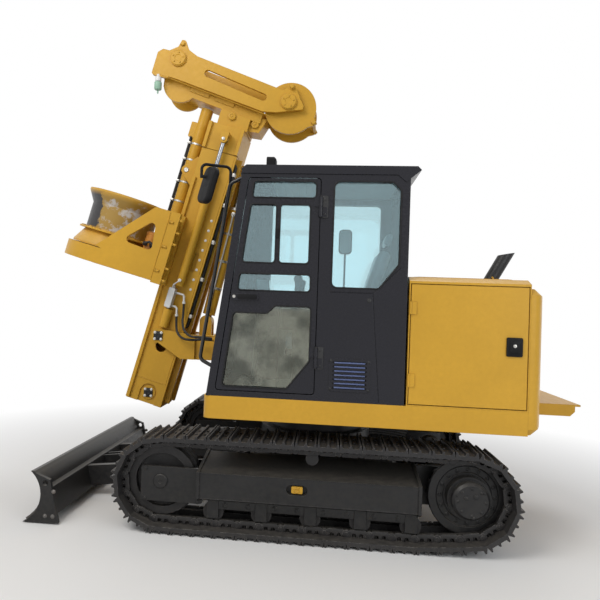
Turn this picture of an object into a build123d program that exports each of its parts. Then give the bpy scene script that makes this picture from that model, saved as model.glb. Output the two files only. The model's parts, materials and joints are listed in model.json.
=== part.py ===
from build123d import *
import os
from math import acos, atan2, cos, hypot, pi, radians, sin, sqrt

os.makedirs("parts", exist_ok=True)

# Millimetres. X points forward, Y to the machine's left, Z up, and the ground is at Z = 0.
# Side-view places are measured from the slew axis, which stands at SLEW_X.

# Tracks
TRACK_CENTRE_Y = 925
SHOE_WIDTH = 450
FRAME_SET_IN, FRAME_SET_OUT, AXLE_SET_IN = 45, 30, 110
FRAME_IN = TRACK_CENTRE_Y - SHOE_WIDTH / 2 + FRAME_SET_IN
FRAME_OUT = TRACK_CENTRE_Y + SHOE_WIDTH / 2 - FRAME_SET_OUT
SHOE_PITCH = 154
IDLER_X, IDLER_Z = 1092, 355
SPROCKET_X, SPROCKET_Z = -1092, 372
SPROCKET_LIFT = 30
FLAT_END_X = -720
FLAT_END_R = 80
NOTCH_H, PLATE_H, MID_BAR_H, GROUSER_H = 12, 30, 48, 52
SHOE_GAP = 3
BAR_FOOT, BAR_TOP, BAR_LEAN = 20, 12, 2
RAIL_DEPTH, RAIL_WIDTH, RAIL_OFFSET, RAIL_BITE = 40, 32, 78, 6
SEAT = 0.3
IDLER_PIN_R = IDLER_Z - GROUSER_H
SPROCKET_PIN_R = SPROCKET_Z - SPROCKET_LIFT - GROUSER_H

# Wheels inside the tracks
WHEEL_HALF = 100
AXLE_HALF = SHOE_WIDTH / 2 - AXLE_SET_IN
IDLER_FLANGE_HALF, IDLER_FLANGE_RISE = 40, 15
IDLER_HUB_R, IDLER_DISH_R, IDLER_DISH = 80, 195, 45
IDLER_AXLE_R = 45
TEETH = 21
TOOTH_HALF_WIDTH = 30
TOOTH_ROOT_R, TOOTH_TIP_R = 232, 270
DRIVE_DRUM_R, DRIVE_SPIGOT_R, DRIVE_CAP_R = 165, 150, 128
DRIVE_SPIGOT_OUT, DRIVE_CAP_OUT, DRIVE_CAP_ROUND = FRAME_OUT - 75, FRAME_OUT - 5, 18
DRIVE_STUDS, DRIVE_STUD_RING, DRIVE_STUD_R, DRIVE_STUD_T = 12, 208, 14, 12
ROLLER_R, ROLLER_FLANGE_R, ROLLER_AXLE_R = 65, 74, 24
ROLLER_FLANGE_W = 14
ROLLER_X = (-700, -350, 0, 350, 700)
CARRIER_R, CARRIER_X = 46, 0

# Track frames and centre frame
FRAME_REAR_X, FRAME_FRONT_X = -760, 815
FRAME_LOW, FRAME_SIDE_LOW, FRAME_SIDE_TOP, FRAME_TOP = 240, 267, 449, 520
FRAME_CHAMFER = 60
YOKE_T, YOKE_HALF_H, YOKE_BACK_X, YOKE_REACH, YOKE_DROP, YOKE_ROUND = 28, 125, 780, 145, 20, 16
END_RIB_T, END_RIB_OUT = 22, 8
HANGER_HALF, HANGER_LOW = 42, 115
DRIVE_PLATE_T, DRIVE_PLATE_R = 55, 190
SLOT_X, SLOT_Z, SLOT_LONG, SLOT_HIGH, SLOT_DEEP = 97, 371, 150, 70, 40
CAR_HALF_X, CAR_LOW, CAR_HIGH = 480, 300, 520
DISH_R, DISH_TOP = 470, 640
BEARING_R, BEARING_BORE, BELLY_BOTTOM = 400, 300, 742
BEARING_GAP = 0.5

# Blade
BLADE_PIVOT_X, BLADE_PIVOT_Z = 800, 300
BLADE_HALF, END_PLATE_T = 1130, 30
BLADE_TOP = (2053, 380)
BLADE_TOP_BACK = (1904, 324)
BLADE_MID = (1974, 181)
BLADE_TIP = (2102, 8)
BLADE_HEEL = (1828, 12)
BLADE_SKIN = 26
BLADE_BEAM_LOW, BLADE_BEAM_HIGH, BLADE_BEAM_FRONT = 70, 260, 1985
ARM_Y, ARM_HALF, ARM_R = 400, 30, 70
ARM_BLADE_LOW, ARM_BLADE_HIGH = 80, 250
ARM_GAP, PIVOT_LUG_T, PIVOT_PIN_R, PIN_PLAY = 5, 26, 32, 0.3
TIE_HOLE_R, TIE_HOLE_X, TIE_HOLE_Z = 20, 1936, 300
BLADE_CYL_BASE = (840, 500)
BLADE_CYL_EYE = (1700, 230)
BLADE_CYL_DRIFT = 9
BLADE_BARREL_R, BLADE_ROD_R, BLADE_EYE_R, BLADE_CYL_PIN_R = 48, 28, 46, 22
BLADE_BARREL_LONG, BLADE_BARREL_START, BLADE_BORE_START = 546, 54, 100
CYL_EYE_HALF, CYL_NECK_R, CYL_LUG_GAP, CYL_LUG_T = 32, 30, 3, 24

# Upper deck
DECK_FRONT_X, DECK_REAR_X, DECK_HALF = 797, -1448, 1100
DECK_LOW, DECK_TOP, DECK_SKIN, DECK_CORNER = 837, 1000, 30, 60
BELLY_FRONT_X, BELLY_REAR_X, BELLY_HALF = 420, -1250, 480
HOOD_FRONT_X, HOOD_TOP, HOOD_SIDE_TOP, HOOD_CHAMFER, HOOD_SKIN = -635, 1900, 1867, 80, 30
HOOD_DOOR_MARGIN, HOOD_DOOR_TOP, DOOR_GAP = 14, 1845, 6
LATCH_X, LATCH_Z, LATCH_W, LATCH_H, LATCH_PROUD, LATCH_RIM = -1345, 1437, 100, 124, 8, 14
HOOD_HINGE_OUT, HOOD_HINGE_R, HOOD_HINGE_H, HOOD_HINGE_END, HOOD_HINGE_LEAF = 8, 7.5, 90, 120, 40
WEIGHT_SIDE_X, WEIGHT_REAR_X, WEIGHT_LOW, WEIGHT_TOP = -1508, -1740, 838, 1840
WEIGHT_CORNER, WEIGHT_EDGE = 70, 45
REAR_GRILLE_Z, REAR_GRILLE_WIDE, REAR_GRILLE_HIGH, REAR_GRILLE_SLATS, REAR_GRILLE_DEEP = 1560, 760, 320, 9, 60
TRAY_REAR_X, TRAY_HALF, TRAY_LOW, TRAY_TOP = -2046, 450, 890, 980
TRAY_PLATE_T, TRAY_SIDE_T, TRAY_LIP, TRAY_CUT = 14, 16, 40, 36
ENGINE_BOX_X, ENGINE_BOX_HALF, ENGINE_BOX_TOP = (-1390, -800), 340, 1560
SIDE_GRILLE_X, SIDE_GRILLE_Z, SIDE_GRILLE_W, SIDE_GRILLE_H, SIDE_GRILLE_SLATS = -1040, 1470, 460, 420, 12
TANK_FRONT_X, TANK_LEFT_Y, TANK_TOP, TANK_ROUND = -40, -270, 1560, 60
EXHAUST_BASE = (-1363, 300)
EXHAUST_TIP_X, EXHAUST_TIP_Z = -1507, 2162
EXHAUST_R, EXHAUST_WALL, EXHAUST_FLANGE_R, EXHAUST_FLANGE_T = 52, 5, 85, 12
EXHAUST_CUT = 38

# Cab
CAB_LEFT, CAB_RIGHT, CAB_WALL = DECK_HALF, 200, 40
CAB_REAR_X, CAB_EAVES, ROOF_TOP = -620, 2606, 2668
SLANT_LOW, SLANT_HIGH = (775, 1008), (569, 2658)
ROOF_REAR_X, ROOF_OVER, ROOF_EDGE = -692, 8, 26
FLOOR_T = 40
PILLAR, DOOR_REAR_X, DOOR_LOW, DOOR_HIGH = 62, 0, 1046, 2572
DOOR_FRAME = 38
DOOR_WAIST_HIGH = 1765
GLASS_T = 8
HINGE_OUT, HINGE_R, HINGE_H, HINGE_LEAF, HINGE_LEAF_T = 16, 14, 70, 46, 10
HINGE_Z = (1232, 2300)
HANDLE_X, HANDLE_Z, HANDLE_LONG, HANDLE_HIGH, HANDLE_PROUD = 516, 1716, 190, 48, 26
LOUVER_X, LOUVER_Z, LOUVER_W, LOUVER_H, LOUVER_SLATS = -240, 1190, 236, 206, 7
SEAT_X, SEAT_Y, SEAT_LONG, SEAT_WIDE = 5, (CAB_LEFT + CAB_RIGHT) / 2, 490, 500
SEAT_BASE_TOP, CUSHION_TOP, SEAT_BACK_TOP = 1330, 1460, 2150
BACK_LEAN, BACK_T, HEAD_HIGH, HEAD_WIDE, SEAT_ROUND = 0.32, 90, 105, 270, 30
POD_CLEAR, POD_LONG, POD_TOP = 10, 340, 1640
POD_WIDE = (CAB_LEFT - CAB_RIGHT - SEAT_WIDE) / 2 - CAB_WALL - POD_CLEAR
CONSOLE_HIGH, CONSOLE_X, CONSOLE_WIDE, CONSOLE_LONG = 1760, 420, 120, 180
SCREEN_W, SCREEN_H, SCREEN_T = 190, 130, 36
LAMP_X, LAMP_Y, LAMP_W, LAMP_H, LAMP_LONG, LAMP_STEM = 390, 800, 120, 84, 70, 40
PANE_ROUND, WINDOW_ROUND = 26, 40
PANE_TOP_LOW, PANE_TOP_HIGH, PANE_TOP_REAR = 2433, 2552, 34
SLIDER_LOW, SLIDER_HIGH, SLIDER_BAR_X, SLIDER_BAR_W, SLIDER_REAR = 1965, 2386, 300, 26, 72
PANE_LOW_HIGH, PANE_LOW_REAR = 1887, 56
LOWER_LOW, LOWER_HIGH, LOWER_STEP_X, LOWER_STEP, LOWER_CUT_X, LOWER_CUT_Z = 1072, 1604, 330, 55, 201, 1274
REAR_WINDOW_FRONT, REAR_WINDOW_REAR, REAR_WINDOW_LOW, REAR_WINDOW_HIGH = -92, -560, 1803, 2556
REAR_WINDOW_TOP_CUT, REAR_WINDOW_LOW_CUT, REAR_WINDOW_LOW_RISE = 60, 136, 176
RIGHT_WINDOW_FRONT, RIGHT_WINDOW_REAR, RIGHT_WINDOW_LOW, RIGHT_WINDOW_HIGH = 430, -500, 1700, 2540
WINDSCREEN_LOW, WINDSCREEN_HIGH, WINDSCREEN_EDGE = 1110, 2540, 50
REAR_GLASS_LOW, REAR_GLASS_HIGH = 1800, 2520
SEAM_W, SEAM_D, SEAM_TOP, SEAM_LOW = 6, 5, (-383, 1771), (-447, 1012)
SEAM_FRONT, SEAM_REAR = (-87, 1771), (-574, 1957)
VENT_PLATE_T, VENT_PLATE_MARGIN = 6, 26
BEAK_FRONT_X, BEAK_LOW = -489, (-589, 2556)

# Rails and mirror
RAIL_TUBE_R, RAIL_Y, RAIL_REACH, RAIL_LOW, RAIL_HIGH = 14, 900, 118, 1180, 2630
MIRROR_X, MIRROR_Y, MIRROR_Z, MIRROR_H, MIRROR_W, MIRROR_T, MIRROR_ROUND = 838, 1000, 2535, 280, 165, 56, 22
MIRROR_LEAN, MIRROR_YAW = radians(14.5), radians(40)
MIRROR_ARM_R, ARM_BEND, ARM_TOP, ARM_FRONT_X, ARM_LOW = 11, 38, 2694, 892, 2590

# Mast: V runs forward and U up the mast from its tilt pin
PIVOT_X, PIVOT_Z, LEAN = 1390, 1365, radians(15)
MAST_REAR, MAST_FRONT, MAST_HALF = -196, 130, 190
MAST_LOW, MAST_SEAM, MAST_HEAD_TOP = -605, 1700, 1940
MAST_WALL, MAST_SLIDE_GAP, INNER_WALL = 16, 5, 14
INNER_LOW = 450
PAD_LONG, PAD_WIDE = 120, 90
GUIDE_BACK, GUIDE_OUT, GUIDE_LOW, GUIDE_TOP = 100, 214, -595, 1430
REAR_RAIL_IN, REAR_RAIL_OUT, REAR_RAIL_PROUD, REAR_RAIL_LOW, REAR_RAIL_CLEAR = 75, 115, 44, -568, 10
ARCH_R, ARCH_DEEP, FOOT_PLATE_T, FOOT_PLATE_TOP = 77, 15, 34, -400
MOON_V, MOON_U, MOON_R = -40, -88, 50
FLANK_SLOT_V, FLANK_SLOT_U, FLANK_SLOT_LONG, FLANK_SLOT_W = -110, 707, 170, 36
ANCHOR_V, ANCHOR_LOW, ANCHOR_HIGH, ANCHOR_R = -18, 87, 250, 40
HEAD_FLANGE_DEEP, HEAD_FLANGE_OUT, HEAD_REAR_OUT = 30, 24, 16
TILT_PIN_R, TILT_BOSS_R, CHEEK_IN, CHEEK_T, CHEEK_R = 40, 60, 205, 32, 62
BEAM_BACK_X, BEAM_FRONT_X, BEAM_LOW, BEAM_HIGH = 790, 1125, 1170, 1380
COLUMN_BACK_X, COLUMN_HALF, COLUMN_TOP_BACK = 150, 165, 1080
FOOT_PIN_V, FOOT_PIN_U, FOOT_PIN_R, FOOT_CAP_R, FOOT_CAP_T = -50, -510, 34, 62, 10
TILT_BASE = (1010, 1500)
TILT_EYE_V, TILT_EYE_U = -276, 1600
TILT_DRIFT = 6
TILT_BARREL_R, TILT_ROD_R, TILT_EYE_R, TILT_CYL_PIN_R = 56, 34, 55, 27
TILT_BARREL_START, TILT_BORE_START, TILT_BARREL_LONG = 66, 120, 992
FEED_V, FEED_BARREL_R, FEED_BORE_R, FEED_ROD_R = 235, 55, 34, 34
FEED_LOW, FEED_TOP, FEED_TRUNNION_U, FEED_TRUNNION_R = 750, 2075, 1483, 24
FEED_ROD_TOP, TRUNNION_BLOCK_Y, TRUNNION_BLOCK_T, TRUNNION_BLOCK_R = 1960, 62, 34, 45
TRUNNION_TOP, TRUNNION_FOOT, TRUNNION_SHELF = 143, 157, 38
FEED_PORT_LOW, FEED_PORT_HIGH, FEED_PORT_OUT, FEED_PORT_HALF = 1793, 1934, 45, 30
EXT_V, EXT_Y, EXT_BARREL_R, EXT_ROD_R = -55, 246, 36, 19
EXT_LOW, EXT_TOP, EXT_EYE_U, EXT_ROD_LOW = 470, 1500, 1800, 540
EXT_EYE_R, EXT_PIN_R, EXT_EYE_HALF, EXT_LUG_T = 34, 16, 21, 16
EXT_CLAMP_U, EXT_CLAMP_H = (500, 1440), 60
VALVE_V, VALVE_LOW, VALVE_HIGH, VALVE_W, VALVE_T = -8, 264, 439, 54, 90
ELBOW_R, ELBOW_BEND, COLLAR_R, COLLAR_LONG = 9, 24, 14, 20
HOSE_R, BEND_SHARE, NIPPLE_LONG = 10, 0.45, 26
LOW_PORT_U, LOW_ELBOW_V, LOW_ELBOW_DROP = 286, -85, 80
HIGH_PORT_U, HIGH_ELBOW_V, HIGH_ELBOW_DROP = 406, -115, 76
# Hose runs: forward, left and up from one route point to the next
LOW_RUNS = ((0, 0, -76), (-18, 29, -68), (-58, 32, -46), (-88, 12, -8), (-98, -8, 14), (-92, -15, -8))
HIGH_RUNS = ((0, 0, -87), (-2, 37, -80), (-32, 53, -68), (-66, 37, -44), (-96, 4, 2), (-90, -15, -10))
MANIFOLD_LONG, MANIFOLD_HIGH, MANIFOLD_MARGIN = 62, 90, 30

# Crown on the mast head, its lower edge rising forward
CROWN_RISE, CROWN_EDGE = 0.0966, 2166
CROWN_IN, CROWN_OUT = 168, 200
UNDER_HALF, UNDER_DEEP, UNDER_REAR, UNDER_FRONT = 130, 90, -292, 520
CROWN_FLOOR_FRONT, CROWN_FLOOR_T = 700, 24
FRONT_AXLE = (568, 2396)
REAR_AXLE = (-492, 2279)
FRONT_GUIDE = (499, 2202)
REAR_GUARD = (-515, 2245)
FRONT_TIE, TOP_TIE, REAR_TIE = (567, 2532), (-487, 2406), (-748, 2177)
TIE_R, TIE_PAD = 17, 30
FRONT_GUIDE_R, GUIDE_T, REAR_GUARD_R, REAR_GUARD_IN, REAR_GUARD_T = 162, 25, 226, 118, 24
AXLE_R, AXLE_CAP_R, AXLE_CAP_T = 38, 72, 16
FRONT_SHEAVE_R, REAR_SHEAVE_R, SHEAVE_HALF, SHEAVE_GROOVE = 108, 168, 45, 22
SHEAVE_HUB_HALF, SHEAVE_WEB = 80, 18
CROWN_SLOT_FRONT, CROWN_SLOT_REAR, CROWN_SLOT_H = (272, 2336), (-266, 2260), 62
NECK_REAR, NECK_FRONT, NECK_HALF = -205, 75, 150
NECK_PIN, NECK_PIN_R, NECK_PIN_PROUD = (-40, 2038), 28, 12
CROWN_NOSE_V, CROWN_NOSE_LOW, CROWN_NOSE_TOP, CROWN_NOSE_CUT = 768, 2224, 2446, 40
CROWN_TAIL_V, CROWN_TAIL_LOW, CROWN_TAIL_TOP, CROWN_TAIL_FOOT = -630, 2245, 2271, -410
CROWN_LUG, CROWN_LUG_DROP, CROWN_ROUND = 34, 74, 10
CROWN_BACK_FRONT, CROWN_BACK_REAR = (408, 2458), (-419, 2362)
EAR_HALF, EAR_LONG, EAR_TOP, EAR_LOW, EAR_CUT, EAR_PIN_R = 110, 138, 2104, 1960, 40, 30
CROWN_PAD_T, CROWN_PAD_H, CROWN_PADS = 10, 42, (67, 308)
CROWN_PAD_LONG = 180
NOSE_BAR_R, NOSE_BAR_LONG = 23, 160

# Carriage and drive pot
CARR_LOW, CARR_HIGH, CARR_BACK, CARR_FACE = 435, 1062, 135, 160
CARR_HALF, CARR_SIDE_T, CARR_CLAW_BACK, CARR_GAP = 410, 25, 72, 5
CLAW_T, WEB_T = 23, 25
TRAY_U_LOW, TRAY_U_TOP, DRUM_V = 450, 585, 700
DRUM_WALL_R, DRUM_SKIRT_R, DRUM_FLANGE_R = 298, 372, 355
DRUM_LOW, DRUM_SKIRT_TOP, DRUM_FLARE, DRUM_HIGH, DRUM_RIM = 590, 730, 970, 1086, 16
DRUM_WALL_T, SLEEVE_R, SLEEVE_BORE, SLEEVE_LOW, DRUM_WEB_TOP = 22, 150, 105, 480, 640
TRAY_BORE_PLAY = 0.3
GUSSET = ((150, 1060), (300, 1060), (715, 600), (160, 450))
GUSSET_HOLE = ((262, 960), (228, 690), (510, 706))
GUSSET_HOLE_ROUND = 34
MOTOR_V, MOTOR_Y, MOTOR_R, MOTOR_TOP = 285, 285, 62, 820
LUG_U = 655

# Winch behind the mast, right of the cab
WINCH_X, WINCH_Z, WINCH_CENTRE_Y = 330, 1265, 480 - DECK_HALF
WINCH_HALF, WINCH_PLATE_T, WINCH_FOOT = 300, 24, 260
WINCH_FLANGE_R, WINCH_DRUM_R, WINCH_SHAFT_R, WINCH_GAP = 215, 130, 45, 6

REAR_REACH = -TRAY_REAR_X
FRONT_REACH = PIVOT_X - sin(LEAN) * TRAY_U_LOW + cos(LEAN) * (DRUM_V + CARR_HALF)
SLEW_X = (REAR_REACH - FRONT_REACH) / 2


def side(y):
    return Plane((SLEW_X, y, 0), x_dir=(1, 0, 0), z_dir=(0, -1, 0))


def level(z):
    return Plane((SLEW_X, 0, z))


def facing(x):
    return Plane((SLEW_X + x, 0, 0), x_dir=(0, 1, 0), z_dir=(1, 0, 0))


def mast_side(y):
    return Plane((SLEW_X + PIVOT_X, y, PIVOT_Z), x_dir=(cos(LEAN), 0, sin(LEAN)), z_dir=(0, -1, 0))


def mast_level(u):
    foot = (SLEW_X + PIVOT_X - sin(LEAN) * u, 0, PIVOT_Z + cos(LEAN) * u)
    return Plane(foot, x_dir=(cos(LEAN), 0, sin(LEAN)), z_dir=(-sin(LEAN), 0, cos(LEAN)))


def mast_point(v, u):
    return (PIVOT_X + cos(LEAN) * v - sin(LEAN) * u, PIVOT_Z + sin(LEAN) * v + cos(LEAN) * u)


def stroke_plane(base, eye, start):
    long = hypot(eye[0] - base[0], eye[1] - base[1])
    way = ((eye[0] - base[0]) / long, (eye[1] - base[1]) / long)
    foot = (SLEW_X + base[0] + way[0] * start, 0, base[1] + way[1] * start)
    return Plane(foot, x_dir=(0, 1, 0), z_dir=(way[0], 0, way[1]))


def slant_x(z):
    return SLANT_LOW[0] + (SLANT_HIGH[0] - SLANT_LOW[0]) * (z - SLANT_LOW[1]) / (SLANT_HIGH[1] - SLANT_LOW[1])


def belt_pins(circles, pitch):
    turns = []
    for k in range(len(circles)):
        x0, z0, r0 = circles[k]
        x1, z1, r1 = circles[(k + 1) % len(circles)]
        heading = atan2(z1 - z0, x1 - x0)
        turns.append(heading - acos((r0 - r1) / hypot(x1 - x0, z1 - z0)))
    runs = []
    for k in range(len(circles)):
        x0, z0, r0 = circles[k]
        x1, z1, r1 = circles[(k + 1) % len(circles)]
        arc = (turns[k] - turns[k - 1]) % (2 * pi)
        runs.append((r0 * arc, (x0, z0, r0, turns[k - 1]), None))
        a = (x0 + r0 * cos(turns[k]), z0 + r0 * sin(turns[k]))
        b = (x1 + r1 * cos(turns[k]), z1 + r1 * sin(turns[k]))
        runs.append((hypot(b[0] - a[0], b[1] - a[1]), a, b))
    total = sum(run[0] for run in runs)
    count = round(total / pitch)
    pins = []
    for k in range(count):
        left = total * k / count
        for long, a, b in runs:
            if left < long:
                break
            left -= long
        if b is None:
            angle = a[3] + left / a[2]
            pins.append((a[0] + a[2] * cos(angle), a[1] + a[2] * sin(angle)))
        else:
            pins.append((a[0] + (b[0] - a[0]) * left / long, a[1] + (b[1] - a[1]) * left / long))
    return pins


def route(start, runs):
    points = [start]
    for run in runs:
        points.append(tuple(a + b for a, b in zip(points[-1], run)))
    return points


def bend_radii(runs):
    radii = []
    for a, b in zip(runs, runs[1:]):
        long_a, long_b = sqrt(sum(c * c for c in a)), sqrt(sum(c * c for c in b))
        turn = acos(sum(c * d for c, d in zip(a, b)) / (long_a * long_b))
        radii.append(BEND_SHARE * min(long_a, long_b) * cos(turn / 2) / sin(turn / 2))
    return radii


def outward(a, b):
    long = hypot(b[0] - a[0], b[1] - a[1])
    return ((b[1] - a[1]) / long, (a[0] - b[0]) / long)


def grown(loop, by):
    out = []
    for k in range(len(loop)):
        n0 = outward(loop[k - 1], loop[k])
        n1 = outward(loop[k], loop[(k + 1) % len(loop)])
        share = by / (1 + n0[0] * n1[0] + n0[1] * n1[1])
        out.append((loop[k][0] + share * (n0[0] + n1[0]), loop[k][1] + share * (n0[1] + n1[1])))
    return out


def shoe_outline(pins):
    notches = grown(pins, NOTCH_H)
    out = []
    for k in range(len(pins)):
        a, b = pins[k], pins[(k + 1) % len(pins)]
        n = outward(a, b)
        long = hypot(b[0] - a[0], b[1] - a[1])
        t = ((b[0] - a[0]) / long, (b[1] - a[1]) / long)
        first, last, mid = SHOE_GAP, long - SHOE_GAP, long / 2
        out.append(notches[k])
        for s, h in (
            (first + BAR_LEAN, GROUSER_H),
            (first + BAR_TOP, GROUSER_H),
            (first + BAR_FOOT, PLATE_H),
            (mid - BAR_TOP, PLATE_H),
            (mid - BAR_TOP / 2, MID_BAR_H),
            (mid + BAR_TOP / 2, MID_BAR_H),
            (mid + BAR_TOP, PLATE_H),
            (last - BAR_FOOT, PLATE_H),
            (last - BAR_TOP, GROUSER_H),
            (last - BAR_LEAN, GROUSER_H),
        ):
            out.append((a[0] + t[0] * s + n[0] * h, a[1] + t[1] * s + n[1] * h))
    return out


track_pins = belt_pins(
    (
        (FLAT_END_X, GROUSER_H + FLAT_END_R, FLAT_END_R),
        (IDLER_X, IDLER_Z, IDLER_PIN_R),
        (SPROCKET_X, SPROCKET_Z, SPROCKET_PIN_R),
    ),
    SHOE_PITCH,
)
half_pitch = SHOE_PITCH / 2
idler_tread_r = sqrt(IDLER_PIN_R**2 - half_pitch**2) - RAIL_DEPTH - 2
roller_z = GROUSER_H + RAIL_DEPTH + ROLLER_R
top_run_z = (IDLER_Z + IDLER_PIN_R + SPROCKET_Z + SPROCKET_PIN_R) / 2
carrier_z = top_run_z - RAIL_DEPTH - CARRIER_R

# Left track: one closed loop of triple-bar shoes on two link rails
with BuildPart() as track_left:
    with BuildSketch(side(TRACK_CENTRE_Y + SHOE_WIDTH / 2)):
        with BuildLine():
            Polyline(*shoe_outline(track_pins), close=True)
        make_face()
        with BuildLine():
            Polyline(*track_pins, close=True)
        make_face(mode=Mode.SUBTRACT)
    extrude(amount=SHOE_WIDTH)
    for offset in (RAIL_OFFSET, -RAIL_OFFSET):
        with BuildSketch(side(TRACK_CENTRE_Y + offset + RAIL_WIDTH / 2)):
            with BuildLine():
                Polyline(*grown(track_pins, RAIL_BITE), close=True)
            make_face()
            with BuildLine():
                Polyline(*grown(track_pins, -RAIL_DEPTH), close=True)
            make_face(mode=Mode.SUBTRACT)
        extrude(amount=RAIL_WIDTH)

with BuildPart() as track_right:
    mirror(track_left.part, about=Plane.XZ)

# Front idlers with a centre flange that runs between the rails
with BuildPart() as idlers:
    for radius, half in (
        (idler_tread_r, WHEEL_HALF),
        (idler_tread_r + IDLER_FLANGE_RISE, IDLER_FLANGE_HALF),
    ):
        with BuildSketch(side(TRACK_CENTRE_Y)):
            with Locations((IDLER_X, IDLER_Z)):
                Circle(radius)
        extrude(amount=half, both=True)
    for face in (WHEEL_HALF, -WHEEL_HALF + IDLER_DISH):
        with BuildSketch(side(TRACK_CENTRE_Y + face)):
            with Locations((IDLER_X, IDLER_Z)):
                Circle(IDLER_DISH_R)
                Circle(IDLER_HUB_R, mode=Mode.SUBTRACT)
        extrude(amount=IDLER_DISH, mode=Mode.SUBTRACT)
    with BuildSketch(side(TRACK_CENTRE_Y)):
        with Locations((IDLER_X, IDLER_Z)):
            Circle(IDLER_AXLE_R)
    extrude(amount=AXLE_HALF, both=True)
    mirror(about=Plane.XZ)

# Drive sprockets
tooth_points = []
tooth_shape = ((-0.42, TOOTH_ROOT_R), (-0.14, TOOTH_TIP_R), (0.14, TOOTH_TIP_R), (0.42, TOOTH_ROOT_R))
for k in range(TEETH):
    for step, radius in tooth_shape:
        angle = 2 * pi * (k + step) / TEETH
        tooth_points.append((SPROCKET_X + radius * cos(angle), SPROCKET_Z + radius * sin(angle)))
with BuildPart() as sprockets:
    with BuildSketch(side(TRACK_CENTRE_Y + TOOTH_HALF_WIDTH)):
        with BuildLine():
            Polyline(*tooth_points, close=True)
        make_face()
        with Locations((SPROCKET_X, SPROCKET_Z)):
            Circle(DRIVE_SPIGOT_R, mode=Mode.SUBTRACT)
    extrude(amount=2 * TOOTH_HALF_WIDTH)
    with BuildSketch(side(TRACK_CENTRE_Y + TOOTH_HALF_WIDTH + DRIVE_STUD_T)):
        with Locations((SPROCKET_X, SPROCKET_Z)):
            with PolarLocations(DRIVE_STUD_RING, DRIVE_STUDS):
                RegularPolygon(DRIVE_STUD_R, 6)
    extrude(amount=DRIVE_STUD_T + 1)
    mirror(about=Plane.XZ)

# Final drives on the inner plate of each track frame
drive_seat = FRAME_IN + DRIVE_PLATE_T
with BuildPart() as final_drives:
    for radius, near, far in (
        (DRIVE_DRUM_R, drive_seat, TRACK_CENTRE_Y - TOOTH_HALF_WIDTH),
        (DRIVE_SPIGOT_R, drive_seat, DRIVE_SPIGOT_OUT),
        (DRIVE_CAP_R, drive_seat, DRIVE_CAP_OUT),
    ):
        with BuildSketch(side(far)):
            with Locations((SPROCKET_X, SPROCKET_Z)):
                Circle(radius)
        extrude(amount=far - near)
    chamfer(final_drives.edges().group_by(Axis.Y)[-1], length=DRIVE_CAP_ROUND)
    mirror(about=Plane.XZ)

# Lower rollers and one carrier roller a side
with BuildPart() as track_rollers:
    with BuildSketch(side(TRACK_CENTRE_Y)):
        for x in ROLLER_X:
            with Locations((x, roller_z)):
                Circle(ROLLER_R - SEAT)
    extrude(amount=WHEEL_HALF, both=True)
    flange_in = RAIL_OFFSET + RAIL_WIDTH / 2 + SHOE_GAP
    for near in (flange_in, -flange_in - ROLLER_FLANGE_W):
        with BuildSketch(side(TRACK_CENTRE_Y + near + ROLLER_FLANGE_W)):
            for x in ROLLER_X:
                with Locations((x, roller_z)):
                    Circle(ROLLER_FLANGE_R)
        extrude(amount=ROLLER_FLANGE_W)
    with BuildSketch(side(TRACK_CENTRE_Y)):
        for x in ROLLER_X:
            with Locations((x, roller_z)):
                Circle(ROLLER_AXLE_R)
    extrude(amount=AXLE_HALF, both=True)
    with BuildSketch(side(TRACK_CENTRE_Y + WHEEL_HALF)):
        with Locations((CARRIER_X, carrier_z)):
            Circle(CARRIER_R - SEAT)
    extrude(amount=WHEEL_HALF + AXLE_HALF)
    mirror(about=Plane.XZ)

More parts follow.
